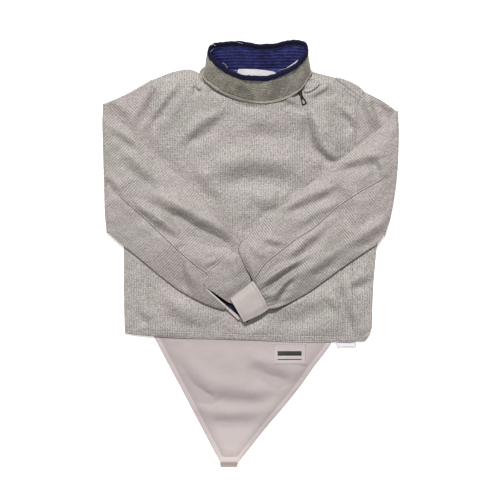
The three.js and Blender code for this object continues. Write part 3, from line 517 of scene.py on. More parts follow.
class Line:
    """Smooth line through points, read by the fraction of its length."""

    def __init__(self, rows, steps=12, raw=False):
        p = np.array(rows, float)
        if not raw and len(p) > 1:
            out = []
            for i in range(len(p) - 1):
                a, b, c, d = (p[min(len(p) - 1, max(0, j))] for j in (i - 1, i, i + 1, i + 2))
                for k in range(steps):
                    t = k / steps
                    out.append(b + 0.5 * t * (c - a + t * (2 * a - 5 * b + 4 * c - d + t * (3 * (b - c) + d - a))))
            p = np.array(out + [p[-1]])
        self.p = p
        self.len = np.concatenate([[0], np.cumsum(np.hypot(*(np.diff(p, axis=0).T)))])
        self.total = float(self.len[-1])

    def __call__(self, t):
        w = np.clip(t, 0, 1) * self.total
        return np.stack([np.interp(w, self.len, self.p[:, 0]), np.interp(w, self.len, self.p[:, 1])], -1)

    def back(self):
        return Line(self.p[::-1], raw=True)

    def shift(self, dx, dy):
        return Line(self.p + np.array([dx, dy]), raw=True)


def join(*lines):
    return Line(np.vstack([ln.p if i == 0 else ln.p[1:] for i, ln in enumerate(lines)]), raw=True)


def patch(bottom, top_, left, right):
    c00, c10, c01, c11 = bottom(0), bottom(1), top_(0), top_(1)

    def f(u, v):
        U, V = u[..., None], v[..., None]
        return ((1 - V) * bottom(u) + V * top_(u) + (1 - U) * left(v) + U * right(v)
                - ((1 - U) * (1 - V) * c00 + U * (1 - V) * c10 + (1 - U) * V * c01 + U * V * c11))
    return f


def front_top(x, y):
    rise = ss((x + 195) / 90) * ss((222 - x) / 90) * ss((y + 170) / 80) * ss((352 - y) / 60)
    e = np.hypot((x - 15) / 105, (y - 335) / 38)
    return EDGE_TOP + CROWN * rise + NECK_RISE * (1 - ss((e - 1) / 1.2))


def shoulder_y(x):
    r, l = np.array(SHOULDER_R), np.array(SHOULDER_L)
    return np.where(x < 0, np.interp(x, r[:, 0], r[:, 1]), np.interp(x, l[:, 0], l[:, 1]))


def top(x, y):
    z = lerp(HEM_TOP, front_top(x, y), ss((y + 172) / 26))
    t = (shoulder_y(x) - y) / 18 + np.where(x > 0, 2 * ss((x - 160) / 15), 0)
    side = (x < -90) | (x > 120)
    return np.where(side, lerp(HEM_TOP, z, ss(t)), z)


def near(x, y, pts):
    """Distance to a line of points, the signed offset to its lit side, and how far along, 0 to 1."""
    pts = np.asarray(pts, float)
    best = np.full(x.shape, 1e9)
    off = np.zeros(x.shape)
    along = np.zeros(x.shape)
    seg = np.hypot(*np.diff(pts, axis=0).T)
    cum = np.concatenate([[0], np.cumsum(seg)])
    for i in range(len(pts) - 1):
        d = (pts[i + 1] - pts[i]) / seg[i]
        n = np.array([-d[1], d[0]])
        if n[1] < 0:
            n = -n
        rx, ry = x - pts[i, 0], y - pts[i, 1]
        t = np.clip(rx * d[0] + ry * d[1], 0, seg[i])
        dist = np.hypot(rx - t * d[0], ry - t * d[1])
        closer = dist < best
        best = np.where(closer, dist, best)
        off = np.where(closer, rx * n[0] + ry * n[1], off)
        along = np.where(closer, (cum[i] + t) / cum[-1], along)
    return best, off, along


def folds(x, y, rows):
    z = np.zeros(x.shape)
    for kind, width, height, line in rows:
        pts = Line([at(*p) for p in line], 5).p
        d, off, al = near(x, y, pts)
        w = width * (0.8 + 0.35 * np.sin(math.pi * al) + 0.08 * np.sin(9 * al + width))
        fade = 0.25 + 0.75 * ss(al / 0.3) * ss((1 - al) / 0.3)
        g = np.exp(-((d / w) ** 2) / 2)
        if kind == "step":
            t = np.clip(off / w, -3, 3)
            z += height * fade * 1.65 * t * g
        else:
            z += (height if kind == "ridge" else -height) * fade * g
    return z


def ripple(x, y, seed, size, n=14, stretch=(1.0, 1.0)):
    """Low uneven undulation, about -1 to 1, with features of a size in mm."""
    rng = np.random.default_rng(seed)
    z = np.zeros(np.shape(x))
    for _ in range(n):
        a = rng.uniform(0, math.pi)
        k = 2 * math.pi / (size * rng.uniform(0.7, 1.8))
        z += np.sin(k * (x * math.cos(a) / stretch[0] + y * math.sin(a) / stretch[1]) + rng.uniform(0, 6.28)) * rng.uniform(0.5, 1)
    return z / (0.55 * n ** 0.5 * 1.9)


def inside(x, y, poly):
    r = np.zeros(x.shape, bool)
    j = len(poly) - 1
    for i in range(len(poly)):
        (xi, yi), (xj, yj) = poly[i], poly[j]
        if yi != yj:
            r ^= ((yi > y) != (yj > y)) & (x < (xj - xi) * (y - yi) / (yj - yi) + xi)
        j = i
    return r


def outside(x, y, poly):
    """Distance outside a closed outline, negative within it."""
    d, _, _ = near(x, y, list(poly) + [poly[0]])
    return np.where(inside(x, y, poly), -d, d)


class Field:
    """A function of x and y worked out once on a fine grid, then read between its points."""

    def __init__(self, fn, x0=-310.0, x1=310.0, y0=-200.0, y1=390.0, step=1.5):
        xs, ys = np.arange(x0, x1 + step, step), np.arange(y0, y1 + step, step)
        gx, gy = np.meshgrid(xs, ys, indexing="ij")
        self.g, self.x0, self.y0, self.step = fn(gx, gy), x0, y0, step

    def __call__(self, x, y):
        m, n = self.g.shape
        a = np.clip((x - self.x0) / self.step, 0, m - 1.001)
        b = np.clip((y - self.y0) / self.step, 0, n - 1.001)
        i, j = a.astype(int), b.astype(int)
        f, h = a - i, b - j
        g = self.g
        return (g[i, j] * (1 - f) * (1 - h) + g[i + 1, j] * f * (1 - h) + g[i, j + 1] * (1 - f) * h + g[i + 1, j + 1] * f * h)


def arm_outline(table):
    a = [table["fold"][:2]] + [r[:2] for r in table["arm"]]
    b = [table["fold"][2:]] + [r[2:4] for r in table["arm"]]
    return Line(a, 4).p.tolist() + Line(b, 4).p.tolist()[::-1]


OUT_R, OUT_L = arm_outline(SLEEVE_R), arm_outline(SLEEVE_L)
CUFF_OUT = [r[:2] for r in CUFF_L] + [r[2:] for r in CUFF_L][::-1]
CUFF_R_OUT = [r[:2] for r in CUFF_R] + [r[2:] for r in CUFF_R][::-1]
OFF_R = Field(lambda x, y: np.minimum(outside(x, y, OUT_R), outside(x, y, CUFF_R_OUT)))
OFF_L = Field(lambda x, y: np.minimum(outside(x, y, OUT_L), outside(x, y, CUFF_OUT)))
BODY_F = Field(lambda x, y: folds(x, y, BODY_FOLDS))
BODY_FINE = Field(lambda x, y: folds(x, y, BODY_FINE_FOLDS), 90, 180, 300, 380, 0.6)


# ------------------------------------------------------------------ meshes
def make(name, verts, quads, mats, uv=None, sharp=38, body="jacket", replaces=None, slot=None, index=None):
    me = bpy.data.meshes.new(name)
    verts = np.asarray(verts, float)
    verts = (verts + np.array([OFF[0], OFF[1], 0])) * MM
    quads = np.asarray(quads, np.int32)
    a, b, c, d = (verts[quads[:, k]] for k in range(4))
    vol = np.einsum("ij,ij->", a, np.cross(b, c)) + np.einsum("ij,ij->", a, np.cross(c, d))
    if vol < 0:
        quads = quads[:, ::-1]
    me.vertices.add(len(verts))
    me.vertices.foreach_set("co", verts.astype(np.float32).ravel())
    me.loops.add(quads.size)
    me.loops.foreach_set("vertex_index", quads.ravel())
    me.polygons.add(len(quads))
    me.polygons.foreach_set("loop_start", np.arange(0, quads.size, 4, dtype=np.int32))
    me.polygons.foreach_set("loop_total", np.full(len(quads), 4, np.int32))
    me.polygons.foreach_set("use_smooth", np.ones(len(quads), bool))
    for m in mats if isinstance(mats, (list, tuple)) else [mats]:
        me.materials.append(m)
    if index is not None:
        me.polygons.foreach_set("material_index", np.asarray(index, np.int32))
    me.update(calc_edges=True)
    layer = me.uv_layers.new(name="cloth")
    uvs = (verts[:, :2] if uv is None else np.asarray(uv, float) * MM).astype(np.float32)
    layer.uv.foreach_set("vector", uvs[quads.ravel()].ravel())
    me.validate()
    me.set_sharp_from_angle(angle=math.radians(sharp))
    o = bpy.data.objects.new(name, me)
    scene.collection.objects.link(o)
    if body:
        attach(o, body)
    if replaces:
        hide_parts(*([replaces] if isinstance(replaces, str) else replaces))
    return o


def shell_quads(m, n, loop=False):
    """Quads of a closed body made of an outer and an inner m x n grid, and which of them are the inner face or the rim."""
    i, j = np.meshgrid(np.arange(m if loop else m - 1), np.arange(n - 1), indexing="ij")
    i, j = i.ravel(), j.ravel()
    i1 = (i + 1) % m
    o = lambda a, b: a * n + b
    q = lambda a, b: m * n + a * n + b
    outer = np.stack([o(i, j), o(i1, j), o(i1, j + 1), o(i, j + 1)], 1)
    inner = np.stack([q(i, j), q(i, j + 1), q(i1, j + 1), q(i1, j)], 1)
    r = np.arange(m if loop else m - 1)
    r1 = (r + 1) % m
    z, e = np.zeros_like(r), np.full_like(r, n - 1)
    rims = [np.stack([o(r, z), q(r, z), q(r1, z), o(r1, z)], 1), np.stack([o(r, e), o(r1, e), q(r1, e), q(r, e)], 1)]
    if not loop:
        c = np.arange(n - 1)
        z, e = np.zeros_like(c), np.full_like(c, m - 1)
        rims += [np.stack([o(z, c), o(z, c + 1), q(z, c + 1), q(z, c)], 1), np.stack([o(e, c), q(e, c), q(e, c + 1), o(e, c + 1)], 1)]
    rim = np.vstack(rims)
    kind = np.concatenate([np.zeros(len(outer)), np.ones(len(inner)), np.full(len(rim), 2)])
    return np.vstack([outer, inner, rim]), kind


def shell(name, outer, inner, mat, uv=None, inner_mat=None, loop=False, **kw):
    m, n = outer.shape[:2]
    quads, kind = shell_quads(m, n, loop)
    verts = np.vstack([outer.reshape(-1, 3), inner.reshape(-1, 3)])
    if uv is not None:
        uv = np.vstack([uv.reshape(-1, 2)] * 2)
    else:
        uv = verts[:, :2]
    mats, index = [mat], None
    if inner_mat is not None:
        mats, index = [mat, inner_mat], (kind == 1).astype(int)
    return make(name, verts, quads, mats, uv=uv, index=index, **kw)


def xyz(xy, z):
    return np.concatenate([xy, np.broadcast_to(np.asarray(z)[..., None], xy.shape[:-1] + (1,))], -1)


def stitch_rows(name, rows, mat, length=2.6, gap=1.5, radius=0.32, **kw):
    """Rows of thread stitches as one mesh. rows = lists of 3D points in mm, already on the surface."""
    verts, quads = [], []
    for pts in rows:
        p = np.asarray(pts, float)
        cum = np.concatenate([[0], np.cumsum(np.linalg.norm(np.diff(p, axis=0), axis=1))])
        where = np.arange(0.5, cum[-1] - length, length + gap)
        get = lambda w: np.array([np.interp(w, cum, p[:, k]) for k in range(3)])
        for w in where:
            a, b = get(w), get(w + length)
            d = (b - a) / max(1e-6, np.linalg.norm(b - a))
            side = np.cross(d, (0, 0, 1.0))
            side /= max(1e-6, np.linalg.norm(side))
            up = np.cross(side, d)
            base = len(verts)
            for k, (t, r, lift) in enumerate(((0, 0.35, -0.25), (0.25, 1, 0.1), (0.75, 1, 0.1), (1, 0.35, -0.25))):
                c = a + (b - a) * t + up * (radius * lift)
                for ang in (0, 90, 180, 270):
                    s, q = math.cos(math.radians(ang)), math.sin(math.radians(ang))
                    verts.append(c + side * (radius * r * s) + up * (radius * r * q * 0.8))
            for k in range(3):
                for e in range(4):
                    f = (e + 1) % 4
                    quads.append((base + 4 * k + e, base + 4 * k + f, base + 4 * k + 4 + f, base + 4 * k + 4 + e))
            quads.append((base + 3, base + 2, base + 1, base))
            quads.append((base + 12, base + 13, base + 14, base + 15))
    return make(name, verts, quads, mat, **kw)


def piping(name, pts, radius, mat, seg=8, **kw):
    """Round cord along 3D points in mm."""
    p = np.asarray(pts, float)
    t = np.gradient(p, axis=0)
    t /= np.linalg.norm(t, axis=1)[:, None]
    side = np.cross(t, np.array([0, 0, 1.0]))
    side /= np.linalg.norm(side, axis=1)[:, None]
    up = np.cross(side, t)
    rad = np.full(len(p), radius) if np.isscalar(radius) else np.asarray(radius)
    verts = []
    for i in range(len(p)):
        for k in range(seg):
            a = 2 * math.pi * k / seg
            verts.append(p[i] + side[i] * rad[i] * math.cos(a) + up[i] * rad[i] * math.sin(a))
    quads = []
    for i in range(len(p) - 1):
        for k in range(seg):
            j = (k + 1) % seg
            quads.append((i * seg + k, i * seg + j, (i + 1) * seg + j, (i + 1) * seg + k))
    for base in (0, (len(p) - 1) * seg):
        for k in range(0, seg - 2, 2):
            q = (base, base + k + 1, base + k + 2, base + (k + 3) % seg if k + 3 < seg else base)
            if len(set(q)) == 4:
                quads.append(q if base else q[::-1])
    # close the ends with a fan of quads
    return make(name, verts, quads, mat, **kw)


# ------------------------------------------------------------------ body panels
def under_sleeves(x, y):
    """0 where a sleeve lies on the body, 1 well clear of it."""
    return ss((np.minimum(OFF_R(x, y), OFF_L(x, y)) - 1.0) / 26)


def beside_sleeves(x, y):
    return ss((np.minimum(OFF_R(x, y), OFF_L(x, y)) + 1.0) / 7)


def edge_fade(x, y):
    return ss((x + 250) / 40) * ss((256 - x) / 40) * ss((y + 178) / 30) * ss((shoulder_y(x) - y) / 34)


SEAM_LINES = dict(
    arm_r=Line(ARMHOLE_R[:6], 5).p, arm_l=Line(ARMHOLE_L[1:6], 5).p, side_r=Line(SIDE_SEAM_R, 3).p, side_l=Line(SIDE_SEAM_L, 3).p,
    roll=Line([(171.5, 346.5), (186, 335.3), (204, 321.6), (219, 309.9)]).p)
ZIP_LINE = Line(ZIP).p


def seam_relief(x, y, names=("arm_r", "arm_l", "side_r", "side_l", "roll")):
    """A narrow groove along each seam with the folded allowance swelling beside it."""
    z = np.zeros(x.shape)
    for n in names:
        d, off, _ = near(x, y, SEAM_LINES[n])
        k = 0.45 if n.startswith("side") else 1.7 if n == "roll" else 0.8
        z += k * (-0.7 * np.exp(-((d / 0.8) ** 2)) + 0.6 * np.exp(-(((d - 3.4) / 2.0) ** 2)))
    return z


def body_height(x, y):
    """Top of the front as it really lies: puffed a little, with its folds, flat under the sleeves."""
    base = top(x, y)
    free = under_sleeves(x, y)
    e = edge_fade(x, y)
    puff = 3.0 * e + 1.5 * e * ripple(x, y, 3, 95, stretch=(1, 1.4)) + 0.6 * ripple(x, y, 8, 38, stretch=(0.8, 1.6)) * e
    f = (2.05 * BODY_F(x, y) + 1.5 * BODY_FINE(x, y)) * (0.3 + 0.7 * e)
    # the flap's edge along the zip stands up, and the other front dips beside it
    d, off, al = near(x, y, ZIP_LINE)
    d2 = np.where(x < np.interp(y, ZIP_LINE[::-1, 1], ZIP_LINE[::-1, 0]), -d, d)
    lip = np.where(d2 < 1.0, 1.1 * np.exp(-((d2 / 9.0) ** 2)), -1.5 * np.exp(-((d2 / 6.0) ** 2)))
    # the cloth lies down where the pull tab rests on it
    tab = near(x, y, [(99.5, 323.5), (108.8, 296.7)])[0]
    room = ss((tab - 6.5) / 17)
    z = base + room * (free * puff + beside_sleeves(x, y) * f + lip) + seam_relief(x, y)
    # the hem's two thicknesses
    hem = np.interp(x, [-250, -206, 0, 171, 229, 244], [-161, -165, -173, -177, -175, -160])
    h = y - hem
    z += 0.5 * (1 - ss((h - 9.5) / 2)) - 0.7 * np.exp(-(((h - 10.8) / 1.0) ** 2)) - 0.4 * np.exp(-(((h - 7.4) / 0.7) ** 2)) - 0.9 * np.exp(-((h / 1.5) ** 2))
    return z


def dense(n, length, lo=True, hi=True):
    """Fractions 0 to 1, drawn together over the last few mm at the ends asked for."""
    near_ = np.array([0, 0.4, 0.8, 1.3, 1.9, 2.6, 3.4, 4.3, 5.4]) / length
    a = near_ if lo else np.array([0.0])
    b = 1 - near_[::-1] if hi else np.array([1.0])
    return np.concatenate([a, np.linspace(a[-1], b[0], n + 2)[1:-1], b])


def body_panel(name, bottom, top_line, left, right, nu, nv, tight, replaces, hold=None):
    rows_v = np.concatenate([np.linspace(0, 0.03, 18)[:-1], np.linspace(0.03, 1, nv)])
    u, v = np.meshgrid(dense(nu, tight), rows_v, indexing="ij")
    xy = patch(bottom, top_line, left, right)(u, v)
    x, y = xy[..., 0], xy[..., 1]
    z = np.maximum(body_height(x, y), WALL + 1.2 + 0.25)
    low = np.maximum(z - 1.2, WALL + 0.25)
    return shell(name, xyz(xy, z), xyz(xy, low), LAME, replaces=replaces, slot="lame_cloth")


front_main = body_panel(
    "front_main_cloth", Line(HEM),
    join(Line([(x, y - 1.2) for x, y in SHOULDER_R]), Line(FRONT_NECK)),
    join(Line(SIDE_SEAM_R), Line(ARMHOLE_R[:6]).back()).shift(0.05, 0), Line(ZIP).back().shift(0.9, 0),
    168, 210, 370.0, "front_main")
front_left = body_panel(
    "front_left_cloth", Line([(171.2, -177), (202.9, -176.5)]),
    Line([(127.5, 360.4), (150, 353.8), (166, 349.2), (171.4, 346.4), (186, 334.8), (204, 321.2), (218.7, 309.6)], raw=True),
    join(Line(ZIP).back().shift(0.2, 0), Line([(101.2, 327), (112.5, 341), (127.3, 360.4)])),
    join(Line(SIDE_SEAM_L), Line(ARMHOLE_L[1:6]).back()).shift(-0.05, -0.3),
    44, 210, 80.0, "front_left")


def side_panel(name, seam, edge, hem, arm_low, replaces):
    f = patch(hem, arm_low, seam, edge)
    v = np.linspace(0.001, 0.999, 130)
    fronts, backs = np.linspace(0.006, 1, 20), np.linspace(0.95, 0, 12)
    turn = np.radians(np.linspace(12, 168, 9))

    def face(thick):
        rows = []
        e, e2 = f(np.ones_like(v), v), f(np.full_like(v, 0.9), v)
        out = e - e2
        out /= np.hypot(out[:, 0], out[:, 1])[:, None]
        zt = body_height(e[:, 0], e[:, 1])
        r = np.maximum(zt, HEM_TOP) / 2
        for u in fronts:
            p = f(np.full_like(v, u), v)
            z = np.maximum(body_height(p[:, 0], p[:, 1]), WALL + thick + 0.25)
            rows.append(xyz(p, np.where(u > 0.999, 2 * r, z) - thick))
        for a in turn:
            w = (r - thick) * math.sin(a)
            rows.append(xyz(e + out * w[:, None], r + (r - thick) * math.cos(a)))
        for b in backs:
            u = lerp(lerp(0.24, 0.36, v), 1.0, b)
            p = f(u, v)
            rows.append(xyz(p, np.full(len(v), thick)))
        return np.stack(rows, 0)
    o, i = face(0.0), face(1.2)
    uv = o[..., :2].copy()
    return shell(name, o, i, LAME, uv=uv, replaces=replaces, slot="lame_cloth")


side_r = side_panel("side_panel_right_cloth", Line(SIDE_SEAM_R), Line(SIDE_EDGE_R), Line(SIDE_HEM_R), Line(ARMHOLE_R[5:]), "side_panel_right")
side_l = side_panel("side_panel_left_cloth", Line(SIDE_SEAM_L), Line(SIDE_EDGE_L), Line(SIDE_HEM_L), Line(ARMHOLE_L[5:]), "side_panel_left")


def back_panel():
    s = -BACK_SEAM + 0.8
    side_rt = join(Line([(s, BACK_HEM), (s, 150)], raw=True), Line([(s, 150), (-205, 182)], raw=True), Line(ARMHOLE_R[:6]).back())
    side_lt = join(Line([(BACK_SEAM - 4.5, BACK_HEM), (BACK_SEAM - 1, 150)], raw=True), Line([(BACK_SEAM - 1, 150), (212.5, 182)], raw=True),
                   Line(ARMHOLE_L[:6]).back().shift(-0.5, -0.2))
    top_line = join(Line(SHOULDER_R), Line(BACK_NECK), Line(SHOULDER_L[:5] + [(228.5, 322.8)]))
    u, v = np.meshgrid(np.linspace(0, 1, 151), 1 - (1 - np.linspace(0, 1, 181)) ** 1.1, indexing="ij")
    xy = patch(Line([(s, BACK_HEM), (BACK_SEAM - 4.5, BACK_HEM)], raw=True), top_line, side_rt, side_lt)(u, v)
    inside_ = ss((xy[..., 0] + 205) / 25) * ss((205 - xy[..., 0]) / 25) * ss((xy[..., 1] + 160) / 22) * ss((345 - xy[..., 1]) / 25)
    low = np.clip(folds(xy[..., 0], xy[..., 1], BACK_FOLDS) * inside_, 0, 1.15)
    hem_ = xy[..., 1] - BACK_HEM
    low += 0.45 * np.exp(-(((hem_ - 10.5) / 1.1) ** 2))
    hi = np.full(u.shape, WALL)
    flat_o, flat_i = xyz(xy, hi), xyz(xy, low)
    # the strip rolled forward over the wearer's left shoulder
    a_line = Line([(171, 349.4), (190, 344.9), (215.5, 333), (226.4, 322.4)])
    b_line = Line([(170.6, 347.4), (186, 335.7), (204, 322.2), (219.4, 310.6)])
    t = np.linspace(0, 1, 60)
    a, b = a_line(t), b_line(t)
    out = a - b
    out /= np.maximum(1e-6, np.hypot(out[:, 0], out[:, 1]))[:, None]

    def face(thick):
        r = (body_height(a[:, 0], a[:, 1])) / 2
        rows = []
        for k in np.linspace(1, 0, 14):
            p = a + (b - a) * k
            z = body_height(p[:, 0], p[:, 1]) + 0.3 * math.sin(math.pi * k)
            rows.append(xyz(p, np.where(k < 1e-6, 2 * r, z) - thick))
        for ang in np.radians(np.linspace(18, 180, 10)):
            w = (r - thick) * math.sin(ang)
            rows.append(xyz(a + out * w[:, None], r + (r - thick) * math.cos(ang)))
        return np.stack(rows, 0)
    o, i = face(0.0), face(1.2)
    qa, _ = shell_quads(*flat_o.shape[:2])
    qb, _ = shell_quads(*o.shape[:2])
    va = np.vstack([flat_o.reshape(-1, 3), flat_i.reshape(-1, 3)])
    vb = np.vstack([o.reshape(-1, 3), i.reshape(-1, 3)])
    vol = lambda v, q: np.einsum("ij,ij->", v[q[:, 0]], np.cross(v[q[:, 1]], v[q[:, 2]])) + np.einsum("ij,ij->", v[q[:, 0]], np.cross(v[q[:, 2]], v[q[:, 3]]))
    qa = qa if vol(va, qa) > 0 else qa[:, ::-1]
    qb = qb if vol(vb, qb) > 0 else qb[:, ::-1]
    v = np.vstack([va, vb])
    return make("back_cloth", v, np.vstack([qa, qb + len(va)]), LAME, uv=v[:, :2], replaces="back", slot="lame_cloth")


back = back_panel()


# ------------------------------------------------------------------ sleeves
def cr(keys, t):
    """Smooth values between equally spaced keys, t from 0 to len - 1."""
    keys = np.asarray(keys, float)
    n = len(keys)
    i = int(min(n - 2, max(0, math.floor(t))))
    f = t - i
    a, b, c, d = (keys[min(n - 1, max(0, j))] for j in (i - 1, i, i + 1, i + 2))
    return b + 0.5 * f * (c - a + f * (2 * a - 5 * b + 4 * c - d + f * (3 * (b - c) + d - a)))


def half(s, length, h):
    return EDGE_HALF + (h - EDGE_HALF) * ss(np.minimum(s - EDGE_HALF, length - EDGE_HALF - s) / 40)


N_ARM = 200


def sleeve(name, table, arm, lift, fold_rows, cap_rows, cover, seam_side, gather):
    fold_at, cap_at = Field(lambda x, y: folds(x, y, fold_rows)), Field(lambda x, y: folds(x, y, cap_rows))
    off_at = OFF_R if table["fold"][0] < 0 else OFF_L
    F = np.array(table["fold"], float)
    side = np.sign(F[0])
    axis_d = F[2:] - F[:2]
    axis_len = float(np.hypot(*axis_d))
    d = axis_d / axis_len
    out = np.array([d[1], -d[0]]) if side < 0 else np.array([-d[1], d[0]])
    K = 81
    frac = np.linspace(0, 1, K)
    straight = lambda r: np.stack([lerp(r[0], r[2], frac), lerp(r[1], r[3], frac)], 1)
    cap_keys = [arm(frac)] + [straight(c) for c in table["cap"]] + [straight(table["fold"])]
    arm_keys = [(*table["fold"], table["f"], table["f"])] + list(table["arm"])
    # forearm axis, and the same axis unfolded across the fold, for the run of the ribs
    first, last = np.array(arm_keys[1][:4]), np.array(arm_keys[-3][:4])
    along = (last[:2] + last[2:]) / 2 - (first[:2] + first[2:]) / 2
    along /= np.hypot(*along)
    unfold = along - 2 * np.dot(along, out) * out
    across = np.array([-unfold[1], unfold[0]])
    stations = []
    n_cap, n_turn, n_arm = 26, 18, N_ARM
    for k in range(n_cap):
        stations.append(("cap", k / n_cap * (len(cap_keys) - 1)))
    for k in range(n_turn):
        stations.append(("turn", math.pi * k / n_turn))
    for k in range(n_arm + 1):
        stations.append(("arm", k / n_arm * (len(arm_keys) - 1)))
    top_pts = {}
    for part, edge in (("top", "a"), ("under", "b")):
        grids, uvs = {0.0: [], 1.2: []}, []
        for kind, t in stations:
            if kind == "cap":
                sp = cr(cap_keys, t)
                f = g = table["f"]
                h = CAP_HALF
            elif kind == "turn":
                sp = cap_keys[-1]
                f = g = table["f"]
                h = lerp(CAP_HALF, ARM_HALF, t / math.pi)
            else:
                r = cr(arm_keys, t)
                sp = straight(r[:4])
                f, g = r[4], max(r[4], r[5])
                h = ARM_HALF
            cum = np.concatenate([[0], np.cumsum(np.hypot(*np.diff(sp, axis=0).T))])
            L = cum[-1]
            pos = lambda s: np.stack([np.interp(s, cum, sp[:, 0]), np.interp(s, cum, sp[:, 1])], -1)
            s0 = f * L - 0.15 if edge == "a" else g * L + 0.15
            s1 = SEAM_IN * L + (-0.15 if edge == "a" else 0.15)
            R = EDGE_HALF
            end = R if edge == "a" else L - R
            n_out = 66 if (edge == "a") == (table["f"] > 0.5) else 48
            so = s0 + (end - s0) * dense(n_out - 10, abs(end - s0) + 0.01, hi=False)
            si = lerp(end, s1, np.linspace(0, 1, 30))
            arcs = np.radians(np.linspace(20, 160, 7))
            flip = 1 if edge == "a" else -1
            for thick in (0.0, 1.2):
                ho, hi_ = half(so, L, h), half(si, L, h)
                s = np.concatenate([so, end - flip * (R - thick) * np.sin(arcs), si])
                w = np.concatenate([ho - thick, (R - thick) * np.cos(arcs), -(hi_ - thick)])
                mid = np.concatenate([ho, np.full(len(arcs), R), hi_])
                se = np.concatenate([so, np.full(len(arcs), end), si])
                lam = np.concatenate([np.ones(n_out), np.linspace(1, -1, len(arcs)), -np.ones(len(si))])
                p = pos(s)
                if kind == "cap":
                    z = mid - w
                    # the face that looks up carries the folds; the other lies flat on the surface
                    upf = np.clip(-lam, 0, 1)
                    lens = np.sin(math.pi * np.clip(se / L, 0, 1)) ** 0.7
                    e = ss(t / (len(cap_keys) - 1) * 6)
                    free = ss((off_at(p[:, 0], p[:, 1]) + 2) / (13 if side > 0 else 20))
                    add = (2.0 * cap_at(p[:, 0], p[:, 1]) + (3.4 + 0.8 * ripple(p[:, 0], p[:, 1], 21, 60)) * lens * e) * free
                    add = np.logaddexp(0, 2.2 * (add + 1.5)) / 2.2 - 1.5  # never down to the layer beneath
                    z = z + upf * add
                    q = p
                    xyp = p
                elif kind == "turn":
                    low = half(np.clip(se, R, axis_len - R), axis_len, CAP_HALF)
                    high = 2 * low + CLEAR + half(np.clip(se, R, axis_len - R), axis_len, ARM_HALF)
                    r_, c_ = (high - low) / 2, (high + low) / 2
                    swell = np.clip(lam, 0, 1) * ss((t - 1.2) / 1.94) * 0.0
                    rad = r_ + w + swell
                    xyp = p + out * (rad * math.sin(t))[:, None]
                    z = c_ - rad * math.cos(t)
                    q = p + out * (r_ * t)[:, None]
                else:
                    x, y = p[:, 0], p[:, 1]
                    upf = np.clip(lam, 0, 1)
                    z = front_top(x, y) + CLEAR + lift(x) + mid + w
                    fr = np.clip(se / L, 0, 1)
                    e = ss(t / 1.2)
                    lens = np.sin(math.pi * fr) ** 0.4
                    free = cover(x, y)
                    puff = (4.4 + 1.8 * ripple(x, y, 31 + int(side), 90)) * lens * e
                    fine = 0.75 * ripple(x, y, 41 + int(side), 34) * lens
                    fl = 2.05 * fold_at(x, y) * ss(np.minimum(fr, 1 - fr) / 0.07 + 0.25)
                    add = puff + fine + fl
                    # seam: two fine grooves with a raised fell between them
                    ds = (f * L - s) * seam_side if edge == "a" else (g * L - s) * seam_side
                    slit = ss((g - f) / 0.05)
                    da = np.abs(ds)
                    fell = -0.9 * np.exp(-((da / 0.9) ** 2))
                    still = 1.0 if gather else 1 - 0.95 * ss((t - 5.85) / 0.25) * (1 - ss((t - 7.1) / 0.3))
                    if edge == "a":
                        fell += 0.6 * np.exp(-(((da - 1.9) / 1.0) ** 2)) - 0.65 * np.exp(-(((da - 4.0) / 0.6) ** 2))
                    add = add + still * fell * (1 - 0.8 * slit) * (0.4 + 0.6 * e)
                    if gather:
                        # gathers drawn into the cuff, fanning out from it and dying away
                        c0, cd = np.array([5.0, -54.9]), np.array([30.9, -56.9]) / 64.75
                        ax = np.array([-cd[1], cd[0]])
                        dist = np.maximum((p - c0) @ ax, 0)
                        lat = ((p - c0) @ cd - 32) / (1 + dist / 105) + 32
                        low_part = ss((fr - f) / 0.1)
                        wave = low_part * (np.sin(2 * math.pi * (lat / 16.5 + 0.12 * np.sin(lat / 9) + 0.15)) * (0.7 + 0.3 * np.sin(lat / 6.5 + 1))
                                           + 0.4 * np.sin(2 * math.pi * (lat / 6.9 + 0.3)) * (1 - ss(dist / 40)))
                        near_cuff = ss(dist / 3.0 + 0.25)
                        reach = 1 - ss((dist - 14) / (78 + 30 * np.sin(lat / 8.0)))
                        add = add + 1.35 * wave * reach * near_cuff
                        add = add - 2.8 * (1 - ss(dist / 16)) * lens
                        p = p + ax * (3.2 * np.sin(math.pi * fr) * (1 - ss(dist / 22)))[:, None]
                    else:
                        add = add - 1.5 * ss((t - (len(arm_keys) - 1) + 0.6) / 0.6) * lens
                    if not gather:
                        # the seam across it, between the forearm and the placket piece
                        dseam, oseam, _ = near(x, y, [(-87, -38), (-29, 11), (-20, 20)])
                        add = add + (0.5 * np.exp(-((oseam / 1.3) ** 2)) - 0.75 * np.exp(-(((np.abs(oseam) - 2.6) / 0.7) ** 2))) * (dseam < np.abs(oseam) + 0.8)
                    add = np.maximum(add * free, -2.6)
                    if not gather:
